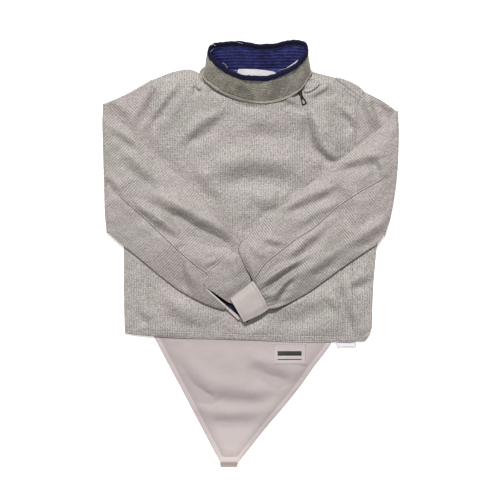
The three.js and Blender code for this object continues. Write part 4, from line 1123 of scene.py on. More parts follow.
                        # bulges up beside the sleeve that lies over it
                        o_l = OFF_L(x, y)
                        add = add + 4.3 * ss((o_l + 0.9) / 1.5) * np.exp(-((np.maximum(o_l - 0.6, 0) / 15) ** 2)) * ss((x + 80) / 40) * ss((y + 50) / 40)
                    z = z + upf * add
                    xyp = p
                    over = p - F[:2]
                    refl = p - 2 * (over @ out)[:, None] * out
                    q = refl + out * (math.pi * 3.4)
                if side > 0:
                    rel = xyp - F[:2]
                    far = np.maximum(0, -(rel @ out))
                    bow = 8.6 * np.sin(math.pi * np.clip((rel @ d) / axis_len, 0, 1) ** 1.15) * np.exp(-((far / 46) ** 2))
                    xyp = xyp + out * bow[:, None]
                grids[thick].append(xyz(xyp, z))
                if thick == 0.0:
                    uvs.append(np.stack([q @ unfold, q @ across], -1))
                    if kind == "arm":
                        top_pts.setdefault(part, []).append(grids[thick][-1][:n_out])
        o = shell(f"{name}_{part}_cloth", np.stack(grids[0.0]), np.stack(grids[1.2]), LAME_SLEEVE, uv=np.stack(uvs), inner_mat=NAVY_IN_SHADE,
                  replaces=f"{name}_{part}", slot="lame_cloth")
        top_pts[part + "_obj"] = o
    return top_pts


def cover_r(x, y):
    return 0.22 + 0.78 * ss((OFF_L(x, y) - 0.5) / 14)


lift_l = lambda x: LIFT * ss((LIFT_FROM - x) / LIFT_RUN)
R = sleeve("sleeve_right", SLEEVE_R, Line(ARMHOLE_R).shift(-0.15, 0.1), lambda x: 0.0 * x, SLEEVE_R_FOLDS, CAP_R_FOLDS, cover_r, 1, False)
L = sleeve("sleeve_left", SLEEVE_L, Line(ARMHOLE_L).shift(0.15, 0.15), lift_l, SLEEVE_L_FOLDS, CAP_L_FOLDS, lambda x, y: np.ones(x.shape), 1, True)


def cuff(name, rows, lift, mat, slot_, slit=None):
    n_st, r = 60, EDGE_HALF - 0.4
    sgn_x = 1 if lift else -1
    rows = np.array(rows, float)

    def face(thick):
        cols = []
        tt = np.linspace(0, len(rows) - 1, n_st)
        keys = np.array([cr(rows, t) for t in tt])
        a, b = keys[:, :2], keys[:, 2:]
        length = np.hypot(*(b - a).T)
        for sgn in (1, -1):
            for k in np.linspace(0, 1, 40):
                s = lerp(slit[0] * length if slit and sgn > 0 else length - r, np.full(n_st, r), k)
                mid = r + (CUFF_HALF - r) * ss(np.minimum(s - r, length - r - s) / 14)
                w = mid - thick
                ss_ = s if sgn > 0 else length - s
                cols.append((ss_, mid, w * sgn, 1.0 if sgn > 0 else 0.0))
            for ang in np.radians(np.linspace(20, 160, 6)):
                s = r - (r - thick) * np.sin(ang) + 0 * length
                ss_ = s if sgn > 0 else length - s
                cols.append((ss_, np.full(n_st, r), (r - thick) * np.cos(ang) * sgn * np.ones(n_st), max(0.0, math.cos(ang)) if sgn > 0 else 0.0))
        for k in np.linspace(0, 1, 5) if slit else ():
            s = lerp(length - r, slit[1] * length, k)
            mid = r + (CUFF_HALF - r) * ss(np.minimum(s - r, length - r - s) / 14)
            cols.append((s, mid, mid - thick, 1.0))
        pts, uvs = [], []
        for s, mid, w, upf in cols:
            fr = s / length
            p = a + (b - a) * fr[:, None]
            e = ss(tt / 0.25)
            fr_t = tt / (len(rows) - 1)
            cd = (rows[0, 2:] - rows[0, :2]) / np.hypot(*(rows[0, 2:] - rows[0, :2]))
            ax = np.array([-cd[1], cd[0]]) * (1 if sgn_x > 0 else -1)
            p = p + ax * ((3.0 * np.sin(math.pi * np.clip(fr, 0, 1)) + 0.9) * (1 - ss(fr_t / 0.5)))[:, None]
            puff = 1.4 * np.sin(math.pi * np.clip(fr, 0, 1)) ** 0.7 * (0.5 + 0.5 * e)
            # rows of stitching near the sleeve seam, and the thick turned end at the hand
            rel = -0.8 * np.exp(-(((fr_t - 0.15) / 0.02) ** 2)) + 0.5 * np.exp(-(((fr_t - 0.09) / 0.04) ** 2)) + 0.7 * ss((fr_t - 0.93) / 0.03)
            rel += -0.5 * np.exp(-(((fr_t - 0.90) / 0.02) ** 2)) - 0.4 * np.exp(-(((fr - 0.06) / 0.02) ** 2)) + 0.5 * ripple(p[:, 0], p[:, 1], 77, 30)
            z = front_top(p[:, 0], p[:, 1]) + CLEAR + lift + mid + w + upf * (puff + rel)
            pts.append(xyz(p, z))
            uvs.append(np.stack([tt * 14, s], -1))
        return np.stack(pts), np.stack(uvs)
    (o, uv), (i, _) = face(0.0), face(1.0)
    return shell(name + "_cloth", o, i, mat, uv=uv, inner_mat=NAVY_EDGE, loop=not slit, replaces=name, slot=slot_), o


cuff_l, cuff_l_pts = cuff("cuff_left", CUFF_L, LIFT, CUFF, "white_cloth")
cuff_r, _ = cuff("cuff_right", CUFF_R, 0.0, CUFF, "white_cloth", (0.76, 0.9))


# ------------------------------------------------------------------ collar
def collar_frame(per=9):
    keys = np.array(COLLAR, float)
    t = np.linspace(0, len(keys) - 1, (len(keys) - 1) * per + 1)
    c = np.array([cr(keys, v) for v in t])
    foot, rim = c[:, :3], c[:, 3:]
    # the closing end tucks in behind the first, past it by a few mm
    tuck = ss((t - (len(keys) - 2.2)) / 1.2)[:, None]
    foot = foot + tuck * np.array([-3.4, -3.6, -0.2])
    rim = rim + tuck * np.array([-3.4, -3.6, -0.4])
    along = np.gradient(foot + rim, axis=0)
    along /= np.linalg.norm(along, axis=1)[:, None]
    up = rim - foot
    height = np.linalg.norm(up, axis=1)
    up /= height[:, None]
    inward = np.cross(along, up)
    inward /= np.linalg.norm(inward, axis=1)[:, None]
    centre = np.array([15, 360, 30]) - (foot + rim) / 2
    inward *= np.where((inward * centre).sum(1) < 0, -1, 1)[:, None]
    run = np.concatenate([[0], np.cumsum(np.linalg.norm(np.diff((foot + rim) / 2, axis=0), axis=1))])
    return t, foot, rim, up, inward, height, run


CT, FOOT, RIM, CUP, CIN, CH, CRUN = collar_frame()


def collar_face(depth, lo=0.0, hi=1.0, n=40, relief=None):
    v = np.linspace(lo, hi, n)
    p = FOOT[:, None] + (RIM - FOOT)[:, None] * v[None, :, None]
    dep = np.full((len(FOOT), n), float(depth))
    if relief is not None:
        dep = dep - relief(CRUN[:, None] + 0 * v[None], v[None] * CH[:, None])
    return p + CIN[:, None] * dep[..., None], np.stack([v[None] * CH[:, None] + 0 * CRUN[:, None], CRUN[:, None] + 0 * v[None]], -1)


# along the collar, width, depth, lean, from and to up its height, in mm
COLLAR_DENTS = [(22, 3.5, 0.9, 0.1, 10, 58), (58, 5, 1.1, -0.15, 4, 44), (96, 2.6, 0.9, 0.2, 16, 58), (131, 4, 1.2, -0.1, 6, 50), (158, 2.4, 0.8, 0.1, 20, 58),
                (186, 6, 1.2, 0.3, 8, 46), (224, 3, 0.9, -0.2, 14, 58), (262, 5, 1.2, 0.15, 4, 40), (301, 3, 0.9, -0.1, 18, 58), (338, 6, 1.3, 0.2, 6, 52),
                (379, 3, 0.8, -0.2, 12, 58), (421, 4, 1.0, 0.1, 8, 48)]


def collar_relief(run, h):
    """Outward relief of the outer cloth: piped foot, its row of stitches, and soft unevenness."""
    piped = 1.4 * np.exp(-(((h - 1.0) / 2.0) ** 2)) - 0.8 * np.exp(-(((h - 5.2) / 1.1) ** 2)) - 0.3 * np.exp(-(((h - 11.5) / 0.9) ** 2))
    soft = (2.0 * ripple(run, h, 51, 62, stretch=(1, 0.8)) + 0.6 * ripple(run, h, 52, 20, stretch=(0.6, 2.2))) * np.sin(math.pi * np.clip(h / 58, 0, 1)) ** 0.7
    dents = np.zeros(np.broadcast(run, h).shape)
    for r0, wide, deep, lean, h0, h1 in COLLAR_DENTS:
        dents -= deep * np.exp(-(((run - r0 - lean * (h - 30)) / wide) ** 2)) * ss((h - h0) / 8) * ss((h1 - h) / 8)
    return piped + soft + dents


o, uv = collar_face(0, relief=collar_relief)
i, _ = collar_face(COLLAR_WALL - 0.2)
collar = shell("collar_cloth", o, i, COLLAR_CLOTH, uv=uv, replaces="collar", slot="collar_cloth")
COLLAR_OUT = o
lin_relief = lambda run, h: -0.35 * ripple(run, h, 61, 40)
o, uv = collar_face(COLLAR_WALL + 0.25)
i, _ = collar_face(COLLAR_WALL + SEAM + LINING_WALL, relief=lambda r, h: 0.5 * np.cos(2 * math.pi * h / 7.2) * 0.5 - 0.2 + 0.4 * ripple(r, h, 61, 36))
LINING_IN = i
collar_lining = shell("collar_lining_cloth", o, i, NAVY, uv=uv[..., ::-1], replaces="collar_lining", slot="navy_lining")

t_ = COLLAR_WALL + SEAM + LINING_WALL
b_, D_ = BINDING_WALL, BINDING_DEPTH
sec_out = np.array([[-SEAM - b_, -D_], [-SEAM - b_ - 0.25, -D_ / 2], [-SEAM - b_, 0.4], [-SEAM - 0.5, 1.4], [-SEAM + 0.4, 1.85], [t_ / 2, 2.0], [t_ + SEAM - 0.4, 1.85],
                    [t_ + SEAM + 0.5, 1.4], [t_ + SEAM + b_, 0.4], [t_ + SEAM + b_ + 0.25, -D_ / 2], [t_ + SEAM + b_, -D_]])
sec_in = np.array([[-SEAM, -D_], [-SEAM, -D_ / 2], [-SEAM, 0.1], [-0.1, 0.45], [0.2, 0.8], [t_ / 2, 0.85], [t_ - 0.2, 0.8], [t_ + 0.1, 0.45], [t_ + SEAM, 0.1],
                   [t_ + SEAM, -D_ / 2], [t_ + SEAM, -D_]])


def binding_face(sec, wob):
    w = wob * (1.1 * ripple(CRUN, 0 * CRUN, 71, 38) + 0.9 * ripple(CRUN, 0 * CRUN, 72, 10))
    return RIM[:, None] + CIN[:, None] * (sec[None, :, 0:1]) + CUP[:, None] * (sec[None, :, 1:2] + w[:, None, None])


o = binding_face(sec_out, 1.0)
i = binding_face(sec_in, 0.0)
uv = np.stack([np.broadcast_to(CRUN[:, None], o.shape[:2]), np.broadcast_to(np.cumsum(np.full(len(sec_out), 2.0))[None], o.shape[:2])], -1)
binding = shell("collar_binding_cloth", o, i, NAVY_EDGE, uv=uv, replaces="collar_binding", slot="navy_binding")
BIND_OUT = o

bind_stitches = stitch_rows("binding_stitching", [BIND_OUT[1:-1, 0] - CIN[1:-1] * 0.12, BIND_OUT[1:-1, 10] + CIN[1:-1] * 0.12], THREAD_NAVY, 2.0, 2.2, 0.3, slot="navy_binding")
loose = []
for k, n, a, b, c in ((14, 4, -2, 9, -7), (25, 3, 3, 6, 4), (33, 4, -4, 10, 6), (40, 3, 2, 7, -5), (52, 4, 4, 8, 8), (60, 3, -3, 9, 3), (70, 4, 2, 11, -8)):
    k = min(k, len(RIM) - n - 1)
    t0 = RIM[k] + CUP[k] * 2.2 + CIN[k] * (t_ / 2)
    t3 = RIM[k + n] + CUP[k + n] * 2.4 + CIN[k + n] * b
    mid = (t0 + t3) / 2 + CUP[k] * 2.6 + CIN[k] * a
    s_ = np.linspace(0, 1, 16)[:, None]
    loose.append((1 - s_) ** 2 * t0 + 2 * s_ * (1 - s_) * mid + s_ ** 2 * t3)
threads = [piping(f"loose_thread_{k}", p_, np.full(len(p_), 0.28), THREAD_WHITE, slot="navy_binding") for k, p_ in enumerate(loose)]

# neck band under the collar's foot
cols = slice(9, 9 * 7)
n_xy = CIN[cols, :2] / np.hypot(CIN[cols, 0], CIN[cols, 1])[:, None]
tt = (CT[cols] - 1.5)
proud = lerp(-1.4, 6.2, ss((tt - 2.3) / 2.0))
dd = np.linspace(0, 1, 10)


def band_face(dz):
    d = lerp(-proud[:, None], 5.5, dd[None])
    p = FOOT[cols, None, :2] + n_xy[:, None] * d[..., None]
    z = top(p[..., 0], p[..., 1]) + 1.2 + dz - 0.8 * np.exp(-(((d + proud[:, None]) / 1.0) ** 2))
    return xyz(p, z)


neck_band = shell("neck_band_cloth", band_face(WALL), band_face(0.2), COLLAR_CLOTH, replaces="neck_band", slot="collar_cloth")


def rows_patch(rows):
    return patch(Line([(rows[0][1], rows[0][0]), (rows[0][2], rows[0][0])], raw=True), Line([(rows[-1][1], rows[-1][0]), (rows[-1][2], rows[-1][0])], raw=True),
                 Line([(r[1], r[0]) for r in rows]), Line([(r[2], r[0]) for r in rows]))


def flat_piece(name, rows, nu, nv, high, low, mat, replaces, slot_, uv=None):
    u, v = np.meshgrid(np.linspace(0, 1, nu + 1), np.linspace(0, 1, nv + 1), indexing="ij")
    xy = rows_patch(rows)(u, v)
    z, zl = high(xy[..., 0], xy[..., 1], u, v), low(xy[..., 0], xy[..., 1], u, v)
    return shell(name, xyz(xy, z), xyz(xy, zl), mat, replaces=replaces, slot=slot_)


facing = flat_piece("neck_facing_cloth", FACING_ROWS, 60, 16, lambda x, y, u, v: WALL + SEAM + TRIM + 0 * x, lambda x, y, u, v: WALL + SEAM + 0 * x, NAVY, "neck_facing", "navy_lining")
LABEL_ROWS = [(355, -24, 46), (358.5, -26, 51.5), (362.5, -25, 49), (366, -24.5, 30), (368.5, -22, 6)]
neck_label = flat_piece("neck_label_cloth", LABEL_ROWS, 40, 12,
                        lambda x, y, u, v: WALL + 2 * SEAM + TRIM + 0.8 + 0.9 * np.sin(math.pi * u) ** 2 * (1 - v) + 0.3 * np.sin(9 * u),
                        lambda x, y, u, v: WALL + 2 * SEAM + TRIM + 0.2 + 0.9 * np.sin(math.pi * u) ** 2 * (1 - v) + 0.3 * np.sin(9 * u), LABEL, "neck_label", "label")


# underlap at the closure
def underlap():
    ring = Line(UNDERLAP + [UNDERLAP[0]], 8).p[:-1]
    c = np.array([121.0, 337.0])
    rho = np.linspace(0.02, 1, 16)
    grid = c + (ring[:, None] - c) * rho[None, :, None]
    x, y = grid[..., 0], grid[..., 1]
    r = np.broadcast_to(rho[None], x.shape)
    low = ss((4.0 + 0.5 * (x - 121) - (y - 337)) / 22)
    rim = (0.7 + 1.5 * low) * np.exp(-(((r - 0.8) / 0.17) ** 2)) - 0.5 * ss((r - 0.93) / 0.07)
    zo = np.maximum(body_height(x, y), top(x, y)) + 0.3 + 1.2 + rim + 0.4 * ripple(x, y, 91, 14)
    zi = np.maximum(body_height(x, y), top(x, y)) + 0.4
    return shell("collar_underlap_cloth", xyz(grid, zo), xyz(grid, zi), LAME, loop=True, replaces="collar_underlap", slot="collar_cloth")


under = underlap()

# ------------------------------------------------------------------ tongue, patch, labels


def tongue_high(x, y, u, v):
    e = ss(u / 0.06) * ss((1 - u) / 0.06) * ss((y + 417) / 25)
    edge = np.minimum(u, 1 - u) * np.interp(y, [-417, -158], [37, 367])
    tip = y + 417
    e_mm = np.minimum(edge * 0.9, tip)
    wide = ss(u / 0.15) * ss((1 - u) / 0.15) * ss((y + 417) / 50) * ss((-178 - y) / 60)
    z = WALL + (2.6 * wide + 1.65 * folds(x, y, TONGUE_FOLDS) * (0.15 + 0.85 * e)) * ss((-172 - y) / 20) + (0.7 + 0.6 * ripple(x, y, 101, 80)) * e * ss((-172 - y) / 30)
    z += 0.6 * (1 - ss((e_mm - 9.5) / 1.5)) - 0.45 * np.exp(-(((e_mm - 10.2) / 0.9) ** 2)) - 0.7 * np.exp(-((e_mm / 1.2) ** 2))
    cap = np.where(y > -180, 1.85, 99)  # stays under the front's hem
    return np.minimum(np.maximum(z, 1.2), cap)


tongue = flat_piece("tongue_cloth", TONGUE_ROWS, 120, 130, tongue_high, lambda x, y, u, v: 0 * x, TONGUE, "tongue", "white_cloth")
n_u, n_v = 121, 131
uu, vv = np.meshgrid(np.linspace(0, 1, n_u), np.linspace(0, 1, n_v), indexing="ij")
txy = rows_patch(TONGUE_ROWS)(uu, vv)
e_mm = np.minimum(np.minimum(uu, 1 - uu) * np.interp(txy[..., 1], [-417, -158], [37, 367]) * 0.9, txy[..., 1] + 417)
att = tongue.data.attributes.new("edge_mm", "FLOAT", "POINT")
att.data.foreach_set("value", np.tile(e_mm.ravel(), 2).astype(np.float32))
loop_ = flat_piece("tongue_loop_cloth", [(-426.5, -59, -26), (-417.4, -60, -24)], 30, 14,
                   lambda x, y, u, v: 1.7 + 0.35 * np.sin(2 * math.pi * u * 9) * 0.5 - 0.6 * np.exp(-(((v - 0.5) / 0.08) ** 2)), lambda x, y, u, v: 0 * x, ELASTIC, "tongue_loop", "elastic")
patch_ = flat_piece("tongue_patch_cloth", [(-222, 45, 113), (-178.5, 45, 113)], 60, 44,
                    lambda x, y, u, v: np.maximum(WALL + SEAM + TRIM + 0.2, tongue_high(x, y, 0.5 + 0 * u, v) + 0.75)
                    - 0.5 * np.exp(-((np.minimum(np.minimum(u, 1 - u) * 68, np.minimum(v, 1 - v) * 43.5) / 0.9) ** 2)),
                    lambda x, y, u, v: np.maximum(WALL + SEAM, tongue_high(x, y, 0.5 + 0 * u, v) + 0.1), PATCH, "tongue_patch", "patch")


def hem_label_piece():
    """Folded white care label, its left end curling into a small loop."""
    u, v = np.meshgrid(np.linspace(0, 1, 50), np.linspace(0, 1, 14), indexing="ij")
    x = lerp(172.8, 211.0, u)
    y = lerp(-186.8, -162.0, v) + 0.7 * np.sin(3.1 * u)
    curl = 4.0 * np.exp(-(((u - 0.0) / 0.12) ** 2)) * ss((0.45 - v) / 0.4) + 1.6 * ss((0.2 - v) / 0.2)
    free = ss((-177 - y) / 5)
    z = 1.0 + free * (curl + 0.35 * np.sin(7 * u) + 0.2)
    return shell("hem_label_cloth", xyz(np.stack([x, y], -1), z), xyz(np.stack([x, y], -1), np.maximum(0, z - 0.8)), LABEL, replaces="hem_label", slot="label")


hem_label = hem_label_piece()
# grey cord round the label's free edges, dark to draw its outline: painted shade along the label's edge
hl = [(172.9, -178.5), (172.6, -183), (173.4, -186.4), (185, -186.3), (198, -186.5), (210.4, -186.7), (211.1, -183), (211.0, -178.5)]
hl = Line(hl, raw=True)(np.linspace(0, 1, 90))
hz = 1.35 + 3.2 * np.exp(-(((hl[:, 0] - 172.8) / 4.6) ** 2)) * ss((-177.5 - hl[:, 1]) / 6) + 1.3 * ss((-177 - hl[:, 1]) / 6)
label_shade_outline = piping("hem_label_shade_outline", xyz(hl, hz), np.full(len(hl), 0.45), THREAD, slot="label")

# ------------------------------------------------------------------ stitching


def on_body(xy, lift=0.1):
    xy = np.asarray(xy, float)
    return xyz(xy, body_height(xy[:, 0], xy[:, 1]) + lift)


def offset_line(pts, d):
    p = np.asarray(pts, float)
    t = np.gradient(p, axis=0)
    t /= np.hypot(t[:, 0], t[:, 1])[:, None]
    return p + np.stack([-t[:, 1], t[:, 0]], -1) * d


hem_line = join(Line(SIDE_HEM_R).back(), Line(HEM), Line([(171.2, -177), (202.9, -176.5)]), Line(SIDE_HEM_L[:3]))
hp = hem_line(np.linspace(0.004, 0.996, 260))
rows = [on_body(offset_line(hp, d)) for d in (7.6, 10.4)]
for key, d in (("arm_r", 4.6), ("arm_l", -4.6), ("side_r", -3.2), ("side_l", 3.2)):
    pts = Line(SEAM_LINES[key], raw=True)(np.linspace(0.01, 0.99, 160))
    pts = offset_line(pts, d)
    keep = under_sleeves(pts[:, 0], pts[:, 1]) > 0.01
    idx = np.where(keep)[0]
    if len(idx) > 4:
        for run in np.split(idx, np.where(np.diff(idx) > 1)[0] + 1):
            if len(run) > 4:
                rows.append(on_body(pts[run]))
zp = Line(ZIP)(np.linspace(0.03, 0.99, 300))
zs = offset_line(zp, -6.5) if offset_line(zp, -6.5)[150, 0] < zp[150, 0] else offset_line(zp, 6.5)
keep = np.where(under_sleeves(zs[:, 0], zs[:, 1]) > 0.01)[0]
for run in np.split(keep, np.where(np.diff(keep) > 1)[0] + 1):
    if len(run) > 4:
        rows.append(on_body(zs[run]))
body_stitches = stitch_rows("body_stitching", rows, THREAD, slot="lame_cloth")

pts = COLLAR_OUT[:, :, :]
k1 = int(round(4.4 / 58 * 25))
collar_rows = [pts[:, 4] - CIN * 0.2, pts[:, 8] - CIN * 0.2]
collar_stitches = stitch_rows("collar_stitching", collar_rows, THREAD, 2.2, 1.3, 0.28, slot="collar_cloth")

tl = Line([(r[1], r[0]) for r in TONGUE_ROWS[1:]])(np.linspace(0, 1, 160))
tr = Line([(r[2], r[0]) for r in TONGUE_ROWS[1:]])(np.linspace(0, 1, 160))
mid_u = np.array([0.5])


def on_tongue(p, inset, sign):
    q = p.copy()
    t = np.gradient(p, axis=0)
    t /= np.hypot(t[:, 0], t[:, 1])[:, None]
    n = np.stack([-t[:, 1], t[:, 0]], -1) * sign
    q = p + n * inset
    w = np.interp(q[:, 1], [r[0] for r in TONGUE_ROWS][::-1], [r[2] - r[1] for r in TONGUE_ROWS][::-1])
    l = np.interp(q[:, 1], [r[0] for r in TONGUE_ROWS][::-1], [r[1] for r in TONGUE_ROWS][::-1])
    u = (q[:, 0] - l) / np.maximum(w, 1)
    ok = (q[:, 1] > -406) & (q[:, 1] < -181)
    return xyz(q, tongue_high(q[:, 0], q[:, 1], u, 0 * u) + 0.08)[ok]


tongue_stitches = stitch_rows("tongue_stitching", [on_tongue(tl, 9.6, 1), on_tongue(tr, 9.6, -1)], THREAD_PALE, 2.4, 1.4, 0.28, slot="white_cloth")

ps = [(47.6, -219.4), (110.4, -219.4), (110.4, -180.6), (47.6, -180.6), (47.6, -219.4)]
patch_z = lambda p: xyz(p, np.maximum(WALL + SEAM + TRIM + 0.2, tongue_high(p[:, 0], p[:, 1], np.full(len(p), 0.5), 0 * p[:, 0]) + 0.75) + 0.22)
patch_rows = [patch_z(Line(ps, raw=True)(np.linspace(0, 1, 200)))]
patch_stitches = stitch_rows("patch_stitching", patch_rows, THREAD_MID, 2.6, 1.6, 0.42, slot="patch")


def band_strip(name, pts, width, mat, **kw):
    """Flat embroidered line on the patch."""
    p = np.asarray(pts, float)
    t = np.gradient(p, axis=0)
    t /= np.hypot(t[:, 0], t[:, 1])[:, None]
    n = np.stack([-t[:, 1], t[:, 0]], -1)
    across = np.linspace(-1, 1, 5)
    grid = p[:, None] + n[:, None] * (across[None, :, None] * width / 2)
    z = patch_z(grid.reshape(-1, 2))[:, 2].reshape(grid.shape[:2])
    hi = z + 0.30 * (1 - across[None] ** 2) + 0.02
    return shell(name, xyz(grid, hi), xyz(grid, z - 0.25), mat, **kw)


stripe = band_strip("patch_stripe", Line([(55, -199.5), (103, -199.5)], raw=True)(np.linspace(0, 1, 60)), 9.0, THREAD_DARK, slot="patch")
bar = band_strip("patch_bar", Line([(55, -211.4), (103, -211.4)], raw=True)(np.linspace(0, 1, 60)), 1.8, THREAD_DARK, slot="patch")


# ------------------------------------------------------------------ sleeve seams and cuff threads
def grid_line(grid_rows, index, frm, to, lift=0.1):
    g = np.array([r[index] for r in grid_rows])[frm:to]
    g = g.copy()
    g[:, 2] += lift
    return g


n_arm = N_ARM + 1
sleeve_rows = []
for data, a in ((R, 1), (L, 1)):
    gtop, gund = data["top"], data["under"]
    sleeve_rows.append(grid_line(gtop, 3, 6, n_arm - 40))
sleeve_stitches = stitch_rows("sleeve_stitching", sleeve_rows, THREAD, 2.4, 1.4, 0.26, slot="lame_cloth")

cg = cuff_l_pts[:40]  # upper face of the visible cuff, [across, along]
cuff_rows = [cg[1:39, 6] + [0, 0, 0.1], cg[36, 3:42] + [0, 0, 0.1]]
cuff_stitches = stitch_rows("cuff_stitching", cuff_rows, THREAD_PALE, 2.2, 1.3, 0.24, slot="white_cloth")

# pale tape along the inside of the rim at the wearer's left
edge = []
for k in range(int(9 * 0.55), int(9 * 1.75)):
    edge.append(RIM[k] + CIN[k] * (t_ + SEAM + b_ + 1.4) + CUP[k] * 0.6)
edge = np.array(edge)
tape = piping("collar_inner_tape", edge, np.interp(np.linspace(0, 1, len(edge)), [0, 0.2, 0.8, 1], [0.4, 1.3, 1.3, 0.4]), LABEL, slot="label")

slit_line = Line([(-91.5, -65.5), (-80, -76), (-69, -85.6), (-50, -103), (-36, -116), (-21.5, -130.5)])(np.linspace(0, 1, 70))


def slit_lip():
    """Pale folded lip along the lower side of the placket and of the cuff's opening."""
    p = slit_line
    t = np.gradient(p, axis=0)
    t /= np.hypot(t[:, 0], t[:, 1])[:, None]
    n = np.stack([t[:, 1], -t[:, 0]], -1)
    width = np.interp(np.linspace(0, 1, len(p)), [0, 0.2, 0.75, 1], [1.2, 3.4, 4.4, 3.6])
    across = np.linspace(0, 1, 9)
    grid = p[:, None] + n[:, None] * ((across[None, :, None] * width[:, None, None]) - 0.8)
    x, y = grid[..., 0], grid[..., 1]
    arch = np.sin(math.pi * np.clip(across, 0, 1)) ** 0.6
    near_pts = np.vstack(R["under"][60:])
    flat_xy = grid.reshape(-1, 2)
    d2 = ((flat_xy[:, None, 0] - near_pts[None, :, 0]) ** 2 + (flat_xy[:, None, 1] - near_pts[None, :, 1]) ** 2)
    w = 1 / (d2 + 0.4) ** 2
    w[d2 > 36] = 0
    base = (w * near_pts[None, :, 2]).sum(1) / np.maximum(w.sum(1), 1e-9)
    base = np.where(w.sum(1) > 0, base, front_top(flat_xy[:, 0], flat_xy[:, 1]) + CLEAR + 2 * EDGE_HALF + 0.6).reshape(x.shape)
    z = base + 0.7 + 0.9 * arch[None]
    return shell("slit_lip_cloth", xyz(grid, z), xyz(grid, z - 1.0), LIP, slot="lame_cloth")


lip = slit_lip()

# ------------------------------------------------------------------ zip parts
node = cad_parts["zip_slider"]
node.data.materials.clear()
node.data.materials.append(METAL)
bev = node.modifiers.new("edge", "BEVEL")
bev.width = 0.0002
bev.segments = 2
bev.limit_method = "ANGLE"

PULL = dict(length=26.5, wide=11.0, narrow=4.2, thick=1.2, drop=5.2, x=99.5, y=321.5)


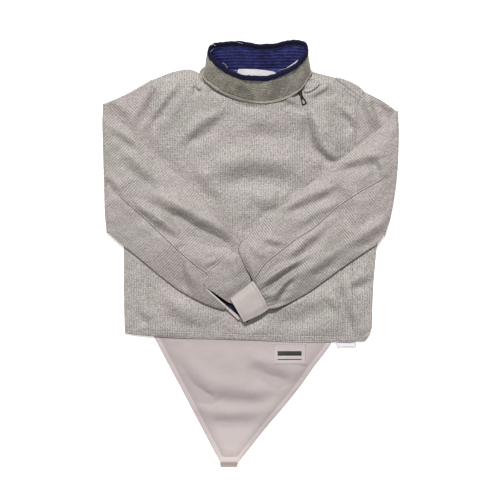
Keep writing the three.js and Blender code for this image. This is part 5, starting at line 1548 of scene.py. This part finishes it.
def pull_tab():
    lo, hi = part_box("zip_slider")
    pin = hi[2] / MM - 1.0
    me = bpy.data.meshes.new("zip_pull_fine")
    bm = bmesh.new()
    L_, W, N = PULL["length"], PULL["wide"], PULL["narrow"]
    outer = [(1.3, 1.3), (3.4, 1.45), (6, N / 2), (9, 2.6), (12, 3.1), (15, 3.7), (18, 4.25), (20.5, 4.75), (L_ - 4, W / 2 - 0.35),
             (L_ - 2, W / 2 - 0.1), (L_ - 0.6, W / 2 - 0.9), (L_, W / 2 - 2.4), (L_, 1.5), (L_, 0.4)]
    ring = [(x, y) for x, y in outer] + [(x, -y) for x, y in outer[::-1]]
    cx = 18.0

    def hole_at(x, y):
        """The long hole's edge along the ray to a point of the outline."""
        a = math.atan2(y, x - cx)
        best = 0.3
        for k in range(1, 140):
            r = k * 0.1
            px, py = cx + r * math.cos(a), r * math.sin(a)
            room = 0.34 * (px - 11.5) if px < 19.5 else 2.75
            if 11.5 < px < L_ - 2.3 and abs(py) < room:
                best = r
        return cx + best * math.cos(a), best * math.sin(a)
    holes = [hole_at(x, y) for x, y in ring]

    def layer(z, inset):
        o_, h_ = [], []
        for (x, y), (hx, hy) in zip(ring, holes):
            dx, dy = hx - x, hy - y
            d = math.hypot(dx, dy) or 1
            o_.append(bm.verts.new((x + dx / d * inset, y + dy / d * inset, z)))
            h_.append(bm.verts.new((hx - dx / d * inset, hy - dy / d * inset, z)))
        return o_, h_
    T = PULL["thick"] / 2
    lay = [layer(-T, 0.28), layer(-T + 0.22, 0.0), layer(T - 0.22, 0.0), layer(T, 0.28)]
    n = len(ring)
    for a, b in zip(lay, lay[1:]):
        for part in (0, 1):
            for k in range(n):
                j = (k + 1) % n
                bm.faces.new((a[part][k], a[part][j], b[part][j], b[part][k]))
    for li in (0, 3):
        o_, h_ = lay[li]
        for k in range(n):
            j = (k + 1) % n
            bm.faces.new((o_[k], o_[j], h_[j], h_[k]))
    # the eye round the slider's bar
    seg, sec = 28, 10
    vs = []
    for k in range(seg):
        a = 2 * math.pi * k / seg
        row = []
        for q in range(sec):
            b = 2 * math.pi * q / sec
            r = 1.5 + 0.4 * math.cos(b)
            row.append(bm.verts.new((r * math.cos(a), 1.35 * math.sin(b), r * math.sin(a))))
        vs.append(row)
    for k in range(seg):
        for q in range(sec):
            bm.faces.new((vs[k][q], vs[(k + 1) % seg][q], vs[(k + 1) % seg][(q + 1) % sec], vs[k][(q + 1) % sec]))
    bmesh.ops.recalc_face_normals(bm, faces=bm.faces)
    ang = math.atan2(-25, 9.5)
    drop = math.radians(PULL["drop"])
    for v in bm.verts:
        x, y, z = v.co
        x, z = x * math.cos(drop) + z * math.sin(drop), -x * math.sin(drop) + z * math.cos(drop)
        x, y = x * math.cos(ang) - y * math.sin(ang), x * math.sin(ang) + y * math.cos(ang)
        v.co = ((x + PULL["x"] + OFF[0]) * MM, (y + PULL["y"] + OFF[1]) * MM, (z + pin) * MM)
    bm.to_mesh(me)
    bm.free()
    for p in me.polygons:
        p.use_smooth = True
    me.set_sharp_from_angle(angle=math.radians(40))
    me.materials.append(METAL)
    me.uv_layers.new(name="cloth")
    ob = bpy.data.objects.new("zip_pull_fine", me)
    scene.collection.objects.link(ob)
    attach(ob, "pull_tab")
    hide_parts("zip_pull")
    return ob


pull = pull_tab()


# ------------------------------------------------------------------ cloth, as cut
def measured(*objs):
    a = 0.0
    for o_ in objs:
        a += sum(p.area for p in o_.data.polygons) / 2
    return a


def cloth(o_, flat, area=None):
    print("SHEET", o_.name, "measured %.4f" % measured(o_), "flat", flat, "area", area)


cloth(back, (0.44, 0.53), 0.217)
cloth(front_main, (0.40, 0.55), 0.187)
cloth(front_left, (0.12, 0.54), 0.029)
cloth(side_r, (0.085, 0.345), 0.026)
cloth(side_l, (0.085, 0.36), 0.026)
cloth(R["top_obj"], (0.33, 0.62), 0.098)
cloth(R["under_obj"], (0.25, 0.56), 0.062)
cloth(L["top_obj"], (0.30, 0.60), 0.073)
cloth(L["under_obj"], (0.28, 0.56), 0.074)
cloth(cuff_l, (0.125, 0.055), 0.0066)
cloth(cuff_r, (0.14, 0.055), 0.0066)
cloth(collar, (0.46, 0.060), 0.0255)
cloth(collar_lining, (0.45, 0.060), 0.0245)
cloth(binding, (0.44, 0.022), 0.0092)
cloth(neck_band, (0.22, 0.012), 0.0019)
cloth(facing, (0.20, 0.034), 0.0061)
cloth(neck_label, (0.076, 0.012), 0.0009)
cloth(under, (0.034, 0.031), 0.0008)
cloth(tongue, (0.367, 0.259), 0.0545)
cloth(loop_, (0.036, 0.018), 0.00032)
cloth(patch_, (0.068, 0.0435), 0.0029)
cloth(hem_label, (0.038, 0.026), 0.00095)
